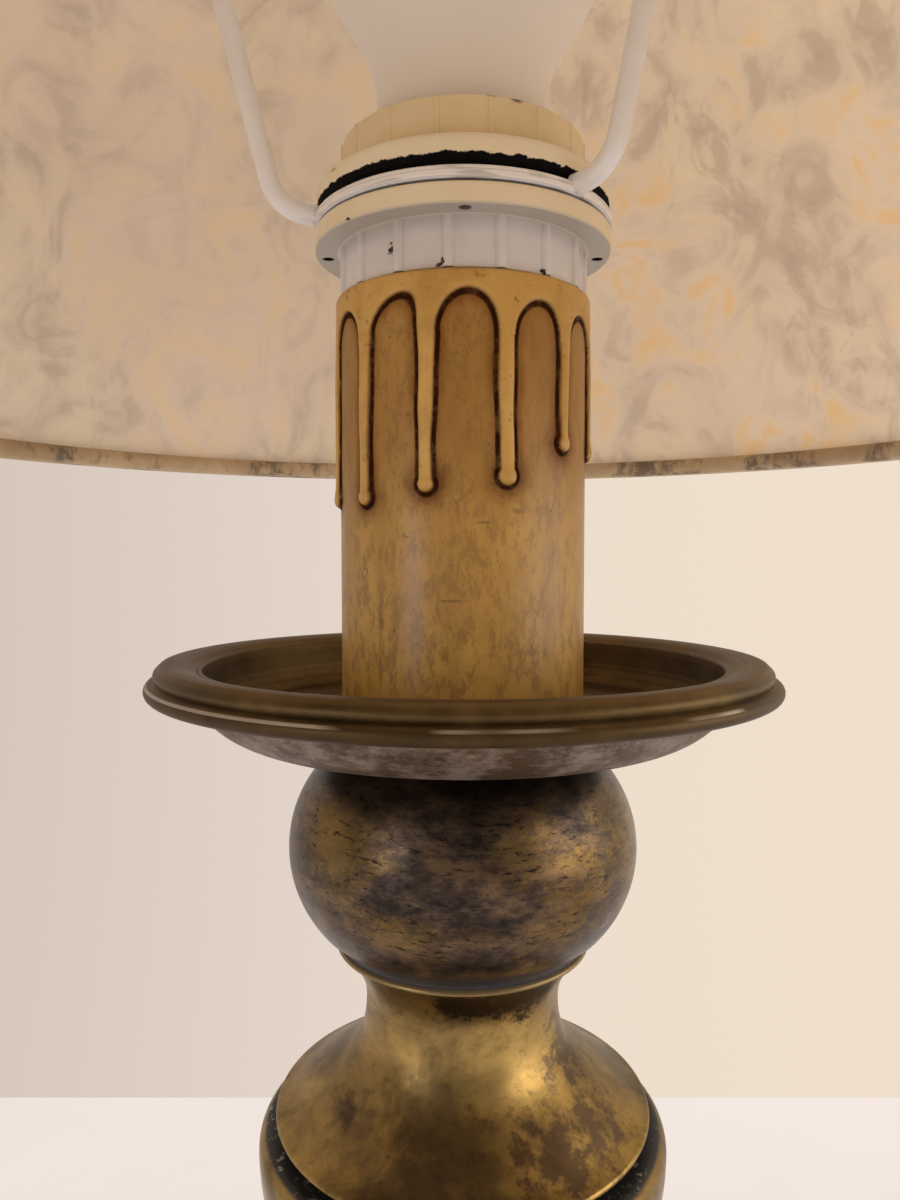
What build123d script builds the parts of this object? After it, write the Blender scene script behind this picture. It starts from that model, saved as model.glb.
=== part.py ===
"""Candlestick table lamp: turned brass column, drip pan, imitation candle and a clip-on cone shade.

Millimetres, +Z up. The origin is on the lamp's axis at the surface that it stands on. The camera
side of the lamp is -Y, and the flex leaves at +Y. Every turned piece is an outline of
(radius, height) corners in the XZ plane, spun about the lamp's axis.
"""

from build123d import *
from math import cos, radians, sin, sqrt
import os

os.makedirs("parts", exist_ok=True)

# ---------------------------------------------------------------- driving dimensions
WALL = 2.6                 # wall of the hollow brass turnings
RUN_GAP = 0.3              # clearance between pieces of different moving groups
SEAT_GAP = 0.2             # rest gap between the screw rings and the shade's ring
SKIN = 0.05                # clearance of parts that are clamped or glued into each other

# stem tube, nuts and washers
TUBE_R = 5.0               # M10 x 1 threaded tube
TUBE_BORE_R = 3.6
TUBE_HOLE_R = TUBE_R + 0.15
NUT_AF = 17.0              # across flats
NUT_H = 5.0
NUT_CHAMFER_SLOPE = 0.5
WASHER_T = 1.2
WASHER_R = 12.0

# foot
FELT_R = 73.0
FELT_T = 1.5
COVER_T = 1.2
FOOT_R = 75.0
FOOT_H = 48.5
FOOT_RIM_H = 12.0          # height of the round band at the foot's edge
FOOT_RIM_DROP = 2.2        # how far that band's edges lie inside its middle
FOOT_STEP = 2.2            # step from the band in to the dome
FOOT_STEP_H = 1.5
FOOT_RIM_WALL = 1.2
FOOT_NECK_R = 27.0         # where the dome ends under the top bead
FOOT_TOP_R = 20.5
FOOT_NECK_STEP = 2.0       # step in from the dome to the groove under the bead
FOOT_GROOVE_H = 1.5
FOOT_BEAD_H = 5.0
FOOT_BEAD_LAND = 1.5
FOOT_BEAD_PROUD = 3.6
FOOT_ROOF_T = 6.0          # solid top of the foot that the column clamps
DOME_LOW_PULL = (6.0, 15.0)    # handles of the dome's S-curve: in and up from its lower end,
DOME_HIGH_PULL = (8.0, 8.0)    # out from the neck and up from the dome's lower end
DOME_WALL = 3.4
WEIGHT_R = 56.0
WEIGHT_DISC_H = 13.0
WEIGHT_HUB_R = 15.5
WEIGHT_LIFT = 2.0          # weight's underside above the cover
WEIGHT_RECESS_R = 16.5
WEIGHT_RECESS_H = 11.0
WEIGHT_BEVEL_W = 6.0
WEIGHT_BEVEL_H = 3.0
WEIGHT_DRAFT = 2.0
WEIGHT_FILLET = 4.0
CORD_GROOVE_W = 9.0
BUSH_BORE_R = 3.0          # takes a round flex of about 5.8 mm
BUSH_BARREL_R = 3.7
BUSH_FLANGE_R = 5.2
BUSH_FLANGE_T = 1.2
BUSH_HEIGHT = 6.9          # the inlet's axis above the table
BUSH_INSET = 4.0           # the inlet hole's start inside the rim's wall
BUSH_TAIL = 2.0            # barrel's length before that

# turned column, from the foot up
KNOP_H = 12.0
KNOP_R = 24.0
KNOP_LAND_R = 18.5
KNOP_FOOT_H = 1.5
KNOP_CAP_H = 2.0
VASE_H = 116.0
VASE_FOOT_R = 17.0
VASE_FOOT_BAND_H = 2.5
VASE_NECK_R = 13.8
VASE_NECK_RISE = 11.0      # narrowest place above the vase's foot
VASE_CURVE = ((0.12, 0.27), (0.40, 0.56), (0.77, 0.82))    # shares of the swell and of its height
VASE_HOLLOW = ((0.06, 0.20), (0.38, 0.56), (0.72, 0.81))
VASE_R = 36.7
VASE_BELLY_DROP = 3.0      # widest place below the vase's top
VASE_TOP_R = 34.4
VASE_SHOULDER_IN = 1.5     # hollow's top edge inside the belly's wall
BELL_H = 36.2
BELL_DISC_R = 33.7
BELL_DISC_T = 1.2
BELL_SPIGOT_R = 31.5
GROOVE_H = 2.0             # black groove between the vase and the bell's disc
BELL_NECK_R = 17.4
BELL_NECK_RISE = 22.5      # narrowest place above the vase's top
BELL_CURVE = ((0.66, 0.16), (0.21, 0.46))      # shares of the flare and of its height
BELL_EDGE_R = 0.4
COLLAR_R = 22.7            # crest of the thin bead at the collar's foot
COLLAR_H = 4.2
COLLAR_EDGE = 0.5
COLLAR_BEAD_H = 0.9
COLLAR_TOP_R = 24.4        # where the cove above the bead ends under the ball
BALL_H = 34.7
BALL_R = 31.0
BALL_ARC_R = 21.0
BALL_SPIGOT_R = 20.0
BALL_SPIGOT_H = 0.3
BALL_MID_SHARE = 0.407     # widest place, as a share of the ball's height

# drip pan
PAN_H = 13.0
PAN_R = 54.5
PAN_LIP_H = 8.9            # middle of the thin outer lip above the pan's underside
PAN_LIP_R = 1.3            # half the lip's thickness
PAN_RIM_R = 50.4           # crest of the rim's roll
PAN_MOUTH_R = 45.2
PAN_FOOT_R = 38.7
PAN_FLOOR_R = 41.5
PAN_FLOOR_T = 3.1
PAN_BOWL_W = 8.0           # underside's curve, from the foot out to the lip's root
PAN_BOWL_MID = (0.56, 0.36)    # shares of that curve's width and height
PAN_WALL_MID = (2.9, 0.34)     # inner wall's middle: out from the floor's edge, and share of its height
PAN_ROOT_GAP = 0.8         # curve's end under the lip
PAN_MOUTH_DROP = 1.1       # mouth's thin edge below the rim's crest
PAN_MOUTH_EDGE = 0.45

# imitation candle
SLEEVE_CLEAR = 1.2         # candle tube over the lampholder
CANDLE_WALL = 1.3
CANDLE_H = 71.5
WAX_PROUD = 0.7
WAX_BAND_H = 3.4           # solid band of wax above the arches
WAX_SKIRT_H = 7.0          # wax skin below the arches' tops, before the windows are cut
WINDOW_H = 20.0
DRIP_ROOT = 3.0            # drips' start below the arches' tops
DRIP_W = 2.5
DRIP_BLOB_R = 1.75
DRIP_HALF_DEPTH = 0.8
BLOB_SINK = 0.8            # blob's centre inside the wax face
DRIP_TURNS = (-80.0, -47.0, -16.0, 17.5, 47.7, 81.8, 114.0, 147.0, 180.0, 213.0, 247.0)
DRIP_DROPS = (35.8, 35.9, 34.2, 33.1, 27.3, 27.8, 34.0, 30.0, 36.5, 28.5, 33.0)
SEAT_CUP_H = 8.0
SEAT_CUP_T = 1.2

# lampholder
HOLDER_BODY_R = 19.0
HOLDER_THREAD_STEP = 0.6   # thread's crest proud of the body
HOLDER_THREAD_PITCH = 2.5
HOLDER_THREAD_DEPTH = 0.7
HOLDER_WALL = 1.6
HOLDER_EDGE = 0.6
THREAD_START = 1.2
THREAD_GROOVE_SHARE = 0.38
HOLDER_RISE = 25.0         # lampholder's rim above the candle's top
HOLDER_THREAD_H = 28.0
HOLDER_SKIRT_H = 14.0
HOLDER_MOUTH_R = 14.3
HOLDER_LIP_T = 1.5
CAP_H = 22.0
CAP_BOSS_R = 8.5
CAP_BOSS_H = 8.0
CAP_SPIGOT_H = 9.0
CAP_SHOULDER_DROP = 3.0
CAP_DOME_IN = 2.7
CAP_DOME_UP = 5.0
CAP_BOSS_FOOT_H = 1.5
BLOCK_T = 4.0
SHELL_T = 0.5
CONTACT_W = 5.0
CONTACT_T = 0.5
CONTACT_H = 1.9
TERMINAL_X = 9.0
TERMINAL_R = 2.4
SCREW_HEAD_H = 2.0
SCREW_SLOT_W = 0.6
SCREW_SLOT_DEPTH = 0.8
CONTACT_PAD = 2.0          # contact's length either side of its screw
SHELL_END_H = 2.0          # plain ends of the threaded shell
GRUB_R = 1.5
GRUB_L = 8.85

# screw rings
RIB_COUNT = 16
RIB_R = 1.0
RIB_SINK = 0.3             # rib's centre inside the hub's face
RIB_TURN = -7.0            # first rib, from the camera side towards +X
LOWER_HUB_WALL = 1.0
LOWER_HUB_H = 7.8
LOWER_FLANGE_W = 4.8       # flange beyond the hub
LOWER_FLANGE_H = 3.5
RING_EDGE = 0.8            # rounding at the lower flange's upper edge
RING_BEVEL = 0.25          # bevel at its lower edge
SPANNER_HOLE_R = 1.0
SPANNER_HOLE_DEPTH = 2.2
SPANNER_HOLE_INSET = 2.1   # holes inside the flange's edge
UPPER_HUB_WALL = 1.0
UPPER_HUB_H = 7.2
UPPER_RIB_R = 0.45
UPPER_RIB_TURN = 10.8
UPPER_RIB_SINK = 0.18
UPPER_INSET = 0.4          # upper flange's edge inside the lower one
UPPER_FLANGE_H = 3.4
UPPER_CHAMFER_H = 1.6
UPPER_CHAMFER_W = 1.3
UPPER_EDGE_R = 1.6
UPPER_LIP = 0.3

# shade
SHADE_RING_OVERHANG = 0.1  # beyond the lower flange
SHADE_RING_H = 1.9
SHADE_RING_EDGE = 0.5
SHADE_R = 128.0
SHADE_TOP_R = 69.0
SHADE_DROP = 31.9          # shade's lower edge below the shade ring
SHADE_H = 160.0
PANEL_T = 1.0
WIRE_R = 1.65
ARM_COUNT = 3
ARM_FIRST_TURN = 43.0      # degrees from the camera side towards +X
ARM_BEND_R = 7.0
ARM_ROOT_IN = 0.8          # wire's start inside the shade ring's edge
ARM_KNEE_OUT = 6.2         # where the wire turns upwards, beyond that edge
ARM_SINK = 0.2
TRIM_H = 3.0
TRIM_T = 0.5
HEM_CLEAR = 0.15           # hem's inside over the wire hoop

# bulb
BULB_R = 30.0
BULB_NECK_R = 15.0
BULB_CLEAR = 1.6           # bulb's neck above the lampholder's rim
BULB_NECK_H = 9.5
BULB_L = 81.0              # from the neck's start to the top
BULB_SPLIT = 45.0          # opaque housing's length
BULB_WALL = 1.2
BULB_NECK_BEVEL_W = 1.2
BULB_NECK_BEVEL_H = 1.6
BULB_CURVE = ((0, 0), (0.07, 0.12), (0.167, 0.21), (0.335, 0.32), (0.50, 0.43), (0.575, 0.49),
              (0.77, 0.69), (0.915, 0.855), (1, 1))    # shares of the swell and of its height
CAP_THREAD_R = 13.2
CAP_THREAD_DEPTH = 0.9
CAP_THREAD_PITCH = 3.6
CAP_THREAD_TURNS = 5
CAP_SHELL_T = 0.6
CAP_CONE_H = 3.0
CAP_CONE_R = 6.0
CAP_LAND_H = 1.5           # plain band under the bulb's neck
CAP_CREST_STEP = 0.2
CAP_PIP_R = 4.8
CAP_PIP_H = 1.4
BOARD_T = 1.5
BOARD_GAP = 0.75           # board's edge inside the housing's seam
BOARD_DROP = 1.0           # board's face below the bulb's seam
CHIP_COUNT = 8
CHIP_W = 2.8
CHIP_L = 3.5
CHIP_T = 0.7
CHIP_RING_SHARE = 0.65

# ---------------------------------------------------------------- sizes that follow from the lampholder
CANDLE_BORE_R = HOLDER_BODY_R + SLEEVE_CLEAR
CANDLE_R = CANDLE_BORE_R + CANDLE_WALL
WAX_R = CANDLE_R + WAX_PROUD
HOLDER_THREAD_R = HOLDER_BODY_R + HOLDER_THREAD_STEP
RING_BORE_R = HOLDER_THREAD_R + RUN_GAP
LOWER_HUB_R = RING_BORE_R + LOWER_HUB_WALL
LOWER_FLANGE_R = LOWER_HUB_R + LOWER_FLANGE_W
UPPER_HUB_R = RING_BORE_R + UPPER_HUB_WALL
UPPER_FLANGE_R = LOWER_FLANGE_R - UPPER_INSET
SHADE_RING_R = LOWER_FLANGE_R + SHADE_RING_OVERHANG
ARM_ROOT_R = SHADE_RING_R - ARM_ROOT_IN
ARM_KNEE_R = SHADE_RING_R + ARM_KNEE_OUT

# ---------------------------------------------------------------- heights of the stack
Z_COVER = FELT_T
Z_WEIGHT = Z_COVER + COVER_T + WEIGHT_LIFT
Z_FOOT_TOP = FELT_T + FOOT_H
Z_KNOP_TOP = Z_FOOT_TOP + KNOP_H
Z_VASE_TOP = Z_KNOP_TOP + VASE_H
Z_BELL_TOP = Z_VASE_TOP + BELL_H
Z_PAN = Z_BELL_TOP + BALL_H
Z_PAN_FLOOR = Z_PAN + PAN_FLOOR_T
Z_CANDLE_TOP = Z_PAN_FLOOR + CANDLE_H
Z_LOWER_RING = Z_CANDLE_TOP + RUN_GAP
Z_LOWER_FLANGE = Z_LOWER_RING + LOWER_HUB_H
Z_SHADE_RING = Z_LOWER_FLANGE + LOWER_FLANGE_H + SEAT_GAP
Z_UPPER_RING = Z_SHADE_RING + SHADE_RING_H + SEAT_GAP
Z_UPPER_FLANGE = Z_UPPER_RING + UPPER_CHAMFER_H
Z_UPPER_HUB = Z_UPPER_FLANGE + UPPER_FLANGE_H
Z_HOLDER_RIM = Z_CANDLE_TOP + HOLDER_RISE
Z_HOLDER_THREAD = Z_HOLDER_RIM - HOLDER_THREAD_H
Z_HOLDER_SKIRT = Z_HOLDER_THREAD - HOLDER_SKIRT_H
Z_BULB = Z_HOLDER_RIM + BULB_CLEAR
Z_CAP_CONE = Z_BULB - CAP_THREAD_PITCH * (CAP_THREAD_TURNS + 2)
Z_PIP = Z_CAP_CONE - CAP_CONE_H - CAP_PIP_H
Z_BLOCK_TOP = Z_PIP - RUN_GAP - CONTACT_H
Z_BLOCK = Z_BLOCK_TOP - BLOCK_T
Z_CAP = Z_BLOCK - CAP_H
Z_TUBE_TOP = Z_CAP + CAP_BOSS_H + 2 * WASHER_T
Z_TUBE = Z_WEIGHT + WEIGHT_RECESS_H - WASHER_T - NUT_H - WASHER_T
Z_SHADE = Z_SHADE_RING - SHADE_DROP
Z_SHADE_TOP = Z_SHADE + SHADE_H


def turn(*corners, mode=Mode.ADD):
    """Spin straight-sided corners (radius, height) about the lamp's axis."""
    with BuildSketch(Plane.XZ) as outline:
        with BuildLine():
            Polyline(*corners, close=True)
        make_face()
    revolve(outline.sketch, axis=Axis.Z, mode=mode)


def tube(r_out, r_in, low, high, mode=Mode.ADD):
    """A plain ring about the lamp's axis."""
    turn((r_in, low), (r_out, low), (r_out, high), (r_in, high), mode=mode)


def facing(turn_degrees):
    """A plane upright on the axis whose x runs outwards, turned from the camera side towards +X."""
    out = radians(turn_degrees)
    return Plane(origin=(0, 0, 0), x_dir=(sin(out), -cos(out), 0), z_dir=(-cos(out), -sin(out), 0))


# ---------------------------------------------------------------- foot
with BuildPart() as felt_pad:
    tube(FELT_R, TUBE_R, 0, FELT_T)
felt_pad.part.label = "felt_pad"
export_step(felt_pad.part, "parts/felt_pad.step")

rim_in_r = FOOT_R - FOOT_RIM_DROP - FOOT_RIM_WALL
with BuildPart() as base_cover:
    tube(rim_in_r - SKIN, TUBE_R, Z_COVER, Z_COVER + COVER_T)
base_cover.part.label = "base_cover"
export_step(base_cover.part, "parts/base_cover.step")

rim_top = FELT_T + FOOT_RIM_H
dome_foot_r = FOOT_R - FOOT_RIM_DROP - FOOT_STEP
dome_foot = rim_top + FOOT_STEP_H
bead_low = Z_FOOT_TOP - FOOT_BEAD_H
roof = Z_FOOT_TOP - FOOT_ROOF_T
neck_in_r = FOOT_NECK_R - FOOT_NECK_STEP
bead_land_r = FOOT_TOP_R + FOOT_BEAD_LAND
with BuildPart() as foot:
    with BuildSketch(Plane.XZ) as foot_outline:
        with BuildLine():
            edge = FOOT_R - FOOT_RIM_DROP
            Polyline((TUBE_HOLE_R, Z_FOOT_TOP), (TUBE_HOLE_R, FELT_T), (edge, FELT_T))
            ThreePointArc((edge, FELT_T), (FOOT_R, FELT_T + FOOT_RIM_H / 2), (edge, rim_top))
            Polyline((edge, rim_top), (dome_foot_r, rim_top), (dome_foot_r, dome_foot))
            low_pull = (dome_foot_r - DOME_LOW_PULL[0], dome_foot + DOME_LOW_PULL[1])
            high_pull = (FOOT_NECK_R + DOME_HIGH_PULL[0], dome_foot + DOME_HIGH_PULL[1])
            Bezier((dome_foot_r, dome_foot), low_pull, high_pull, (neck_in_r, bead_low - FOOT_GROOVE_H))
            Polyline((neck_in_r, bead_low - FOOT_GROOVE_H), (neck_in_r, bead_low), (bead_land_r, bead_low))
            ThreePointArc((bead_land_r, bead_low), (FOOT_TOP_R + FOOT_BEAD_PROUD, bead_low + FOOT_BEAD_H / 2),
                          (bead_land_r, Z_FOOT_TOP))
            Line((bead_land_r, Z_FOOT_TOP), (TUBE_HOLE_R, Z_FOOT_TOP))
        make_face()
    revolve(axis=Axis.Z)
    with BuildSketch(Plane.XZ) as foot_hollow:
        with BuildLine():
            ceiling = rim_top - WALL
            Polyline((0, roof), (0, FELT_T), (rim_in_r, FELT_T), (rim_in_r, ceiling),
                     (dome_foot_r - WALL, ceiling))
            Bezier((dome_foot_r - WALL, ceiling), (low_pull[0] - DOME_WALL, low_pull[1] - DOME_WALL),
                   (high_pull[0] - DOME_WALL, high_pull[1] - DOME_WALL), (neck_in_r - DOME_WALL, roof))
            Line((neck_in_r - DOME_WALL, roof), (0, roof))
        make_face()
    revolve(foot_hollow.sketch, axis=Axis.Z, mode=Mode.SUBTRACT)
    inlet = Plane(origin=(0, rim_in_r - BUSH_INSET, BUSH_HEIGHT), x_dir=(1, 0, 0), z_dir=(0, 1, 0))
    with BuildSketch(inlet) as inlet_hole:
        Circle(BUSH_BARREL_R + SKIN)
    extrude(inlet_hole.sketch, amount=FOOT_RIM_H, mode=Mode.SUBTRACT)
foot.part.label = "foot"
export_step(foot.part, "parts/foot.step")

with BuildPart() as base_weight:
    disc_top = Z_WEIGHT + WEIGHT_DISC_H
    turn((TUBE_HOLE_R, Z_WEIGHT), (WEIGHT_R - WEIGHT_BEVEL_W, Z_WEIGHT), (WEIGHT_R, Z_WEIGHT + WEIGHT_BEVEL_H),
         (WEIGHT_R - WEIGHT_DRAFT, disc_top), (WEIGHT_HUB_R + WEIGHT_FILLET, disc_top),
         (WEIGHT_HUB_R, disc_top + WEIGHT_FILLET), (WEIGHT_HUB_R, roof), (TUBE_HOLE_R, roof))
    tube(WEIGHT_RECESS_R, 0, Z_WEIGHT, Z_WEIGHT + WEIGHT_RECESS_H, mode=Mode.SUBTRACT)
    with BuildSketch(Plane.XY.offset(Z_WEIGHT)) as cord_groove:
        Rectangle(CORD_GROOVE_W, WEIGHT_R * 1.1, align=(Align.CENTER, Align.MIN))
    extrude(cord_groove.sketch, amount=WEIGHT_RECESS_H - WASHER_T, mode=Mode.SUBTRACT)
base_weight.part.label = "base_weight"
export_step(base_weight.part, "parts/base_weight.step")

with BuildPart() as base_washer:
    tube(WASHER_R, TUBE_HOLE_R, Z_WEIGHT + WEIGHT_RECESS_H - WASHER_T, Z_WEIGHT + WEIGHT_RECESS_H)
base_washer.part.label = "base_washer"
export_step(base_washer.part, "parts/base_washer.step")


def hex_nut(low):
    """A chamfered hexagon nut on the stem tube, inside the current part."""
    with BuildSketch(Plane.XY.offset(low)) as hexagon:
        RegularPolygon(NUT_AF / 2, 6, major_radius=False)
        Circle(TUBE_HOLE_R, mode=Mode.SUBTRACT)
    extrude(hexagon.sketch, amount=NUT_H)
    corner_r = NUT_AF / sqrt(3)
    chamfer_drop = (corner_r - NUT_AF / 2) * NUT_CHAMFER_SLOPE
    turn((NUT_AF / 2, low + NUT_H), (corner_r, low + NUT_H), (corner_r, low + NUT_H - chamfer_drop),
         mode=Mode.SUBTRACT)


with BuildPart() as base_nut:
    hex_nut(Z_WEIGHT + WEIGHT_RECESS_H - WASHER_T - NUT_H)
base_nut.part.label = "base_nut"
export_step(base_nut.part, "parts/base_nut.step")

with BuildPart() as cord_bushing:
    bush_l = BUSH_TAIL + BUSH_INSET + FOOT_R - rim_in_r
    with BuildSketch(inlet.offset(-BUSH_TAIL)) as bush_barrel:
        Circle(BUSH_BARREL_R)
    extrude(bush_barrel.sketch, amount=bush_l)
    with BuildSketch(inlet.offset(bush_l - BUSH_TAIL)) as bush_flange:
        Circle(BUSH_FLANGE_R)
    extrude(bush_flange.sketch, amount=BUSH_FLANGE_T)
    fillet(cord_bushing.edges().group_by(Axis.Y)[-1], radius=BUSH_FLANGE_T * 0.4)
    with BuildSketch(inlet.offset(-BUSH_TAIL)) as bush_bore:
        Circle(BUSH_BORE_R)
    extrude(bush_bore.sketch, amount=bush_l + BUSH_FLANGE_T, mode=Mode.SUBTRACT)
cord_bushing.part.label = "cord_bushing"
export_step(cord_bushing.part, "parts/cord_bushing.step")

# ---------------------------------------------------------------- turned column
with BuildPart() as lower_knop:
    with BuildSketch(Plane.XZ) as knop_outline:
        with BuildLine():
            bead_foot = Z_FOOT_TOP + KNOP_FOOT_H
            bead_top = Z_KNOP_TOP - KNOP_CAP_H
            Polyline((TUBE_HOLE_R, Z_KNOP_TOP), (TUBE_HOLE_R, Z_FOOT_TOP), (KNOP_LAND_R, Z_FOOT_TOP),
                     (KNOP_LAND_R, bead_foot))
            ThreePointArc((KNOP_LAND_R, bead_foot), (KNOP_R, (bead_foot + bead_top) / 2),
                          (KNOP_LAND_R, bead_top))
            Polyline((KNOP_LAND_R, bead_top), (KNOP_LAND_R, Z_KNOP_TOP), (TUBE_HOLE_R, Z_KNOP_TOP))
        make_face()
    revolve(axis=Axis.Z)
lower_knop.part.label = "lower_knop"
export_step(lower_knop.part, "parts/lower_knop.step")

belly = Z_VASE_TOP - VASE_BELLY_DROP
neck = Z_KNOP_TOP + VASE_NECK_RISE
belly_rise = belly - neck
swell = VASE_R - VASE_NECK_R
with BuildPart() as vase:
    with BuildSketch(Plane.XZ) as vase_outline:
        with BuildLine():
            foot_band = Z_KNOP_TOP + VASE_FOOT_BAND_H
            Polyline((TUBE_HOLE_R, Z_VASE_TOP), (TUBE_HOLE_R, Z_KNOP_TOP), (VASE_FOOT_R, Z_KNOP_TOP),
                     (VASE_FOOT_R, foot_band))
            EllipticalCenterArc((VASE_FOOT_R, neck), VASE_FOOT_R - VASE_NECK_R, neck - foot_band,
                                start_angle=180, arc_size=90)
            outer_curve = [(VASE_NECK_R + swell * a, neck + belly_rise * b) for a, b in VASE_CURVE]
            Spline((VASE_NECK_R, neck), *outer_curve, (VASE_R, belly), tangents=[(0, 1), (0, 1)])
            EllipticalCenterArc((VASE_TOP_R, belly), VASE_R - VASE_TOP_R, VASE_BELLY_DROP, arc_size=90)
            Line((VASE_TOP_R, Z_VASE_TOP), (TUBE_HOLE_R, Z_VASE_TOP))
        make_face()
    revolve(axis=Axis.Z)
    with BuildSketch(Plane.XZ) as vase_hollow:
        with BuildLine():
            high = Z_VASE_TOP - WALL * 2
            shoulder_r = VASE_R - WALL - VASE_SHOULDER_IN
            inner_curve = [(VASE_NECK_R - WALL + swell * a, neck + belly_rise * b) for a, b in VASE_HOLLOW]
            Spline(*inner_curve, (shoulder_r, high))
            Polyline((shoulder_r, high), (0, high), (0, inner_curve[0][1]), inner_curve[0])
        make_face()
    revolve(vase_hollow.sketch, axis=Axis.Z, mode=Mode.SUBTRACT)
vase.part.label = "vase"
export_step(vase.part, "parts/vase.step")

disc_low = Z_VASE_TOP + GROOVE_H
disc_top = disc_low + BELL_DISC_T
bell_waist = Z_VASE_TOP + BELL_NECK_RISE
collar_low = Z_BELL_TOP - COLLAR_H
with BuildPart() as bell:
    with BuildSketch(Plane.XZ) as bell_outline:
        with BuildLine():
            flare = BELL_DISC_R - BELL_NECK_R
            rise = bell_waist - disc_top
            edge = BELL_DISC_R - BELL_EDGE_R
            Polyline((TUBE_HOLE_R, Z_BELL_TOP), (TUBE_HOLE_R, Z_VASE_TOP),
                     (BELL_SPIGOT_R, Z_VASE_TOP), (BELL_SPIGOT_R, disc_low), (edge, disc_low))
            ThreePointArc((edge, disc_low), (BELL_DISC_R, (disc_low + disc_top) / 2), (edge, disc_top))
            flare_curve = [(BELL_NECK_R + flare * a, disc_top + rise * b) for a, b in BELL_CURVE]
            Spline((edge, disc_top), *flare_curve, (BELL_NECK_R, bell_waist), tangents=[(-1.0, 0.35), (0, 1)])
            collar_in = COLLAR_R - COLLAR_EDGE
            throat = (BELL_NECK_R + (collar_in - BELL_NECK_R) * 0.3,
                      bell_waist + (collar_low - bell_waist) * 0.57)
            Spline((BELL_NECK_R, bell_waist), throat, (collar_in, collar_low), tangents=[(0, 1), (1.0, 0.9)])
            bead_high = collar_low + COLLAR_BEAD_H
            ThreePointArc((collar_in, collar_low), (COLLAR_R, collar_low + COLLAR_BEAD_H / 2),
                          (collar_in, bead_high))
            cove_high = Z_BELL_TOP - COLLAR_EDGE / 2
            cove_mid = (collar_in + (COLLAR_TOP_R - collar_in) * 0.3, (bead_high + cove_high) / 2)
            ThreePointArc((collar_in, bead_high), cove_mid, (COLLAR_TOP_R, cove_high))
            Polyline((COLLAR_TOP_R, cove_high), (COLLAR_TOP_R - COLLAR_EDGE, Z_BELL_TOP),
                     (TUBE_HOLE_R, Z_BELL_TOP))
        make_face()
    revolve(axis=Axis.Z)
    turn((0, Z_VASE_TOP + WALL), (BELL_SPIGOT_R - WALL, Z_VASE_TOP + WALL * 0.8),
         (BELL_NECK_R + flare * 0.28, disc_top + rise * 0.26),
         (BELL_NECK_R - WALL, disc_top + rise * 0.72), (BELL_NECK_R - WALL, Z_BELL_TOP - WALL * 1.5),
         (0, Z_BELL_TOP - WALL * 1.5), mode=Mode.SUBTRACT)
bell.part.label = "bell"
export_step(bell.part, "parts/bell.step")

ball_low = Z_BELL_TOP + BALL_SPIGOT_H
ball_mid = ball_low + (BALL_H - BALL_SPIGOT_H) * BALL_MID_SHARE
arc_x = BALL_R - BALL_ARC_R


def ball_arc_r(height, radius=BALL_ARC_R):
    """Radius of the ball's round side at a height, for its outside or for its hollow."""
    return arc_x + sqrt(max(radius ** 2 - (height - ball_mid) ** 2, 0.01))


with BuildPart() as ball_knob:
    with BuildSketch(Plane.XZ) as ball_outline:
        with BuildLine():
            Polyline((TUBE_HOLE_R, Z_PAN), (TUBE_HOLE_R, Z_BELL_TOP), (BALL_SPIGOT_R, Z_BELL_TOP),
                     (BALL_SPIGOT_R, ball_low), (ball_arc_r(ball_low), ball_low))
            ThreePointArc((ball_arc_r(ball_low), ball_low), (BALL_R, ball_mid), (ball_arc_r(Z_PAN), Z_PAN))
            Line((ball_arc_r(Z_PAN), Z_PAN), (TUBE_HOLE_R, Z_PAN))
        make_face()
    revolve(axis=Axis.Z)
    with BuildSketch(Plane.XZ) as ball_hollow:
        with BuildLine():
            hollow_r = BALL_ARC_R - WALL
            low = ball_low + WALL * 1.4
            high = Z_PAN - WALL * 2.2
            ThreePointArc((ball_arc_r(low, hollow_r), low), (arc_x + hollow_r, ball_mid),
                          (ball_arc_r(high, hollow_r), high))
            Polyline((ball_arc_r(high, hollow_r), high), (0, high), (0, low),
                     (ball_arc_r(low, hollow_r), low))
        make_face()
    revolve(ball_hollow.sketch, axis=Axis.Z, mode=Mode.SUBTRACT)
ball_knob.part.label = "ball_knob"
export_step(ball_knob.part, "parts/ball_knob.step")

with BuildPart() as threaded_tube:
    tube(TUBE_R, TUBE_BORE_R, Z_TUBE, Z_TUBE_TOP)
    chamfer(threaded_tube.edges().filter_by(GeomType.CIRCLE).group_by(SortBy.RADIUS)[-1], length=0.5)
threaded_tube.part.label = "threaded_tube"
export_step(threaded_tube.part, "parts/threaded_tube.step")

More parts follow.
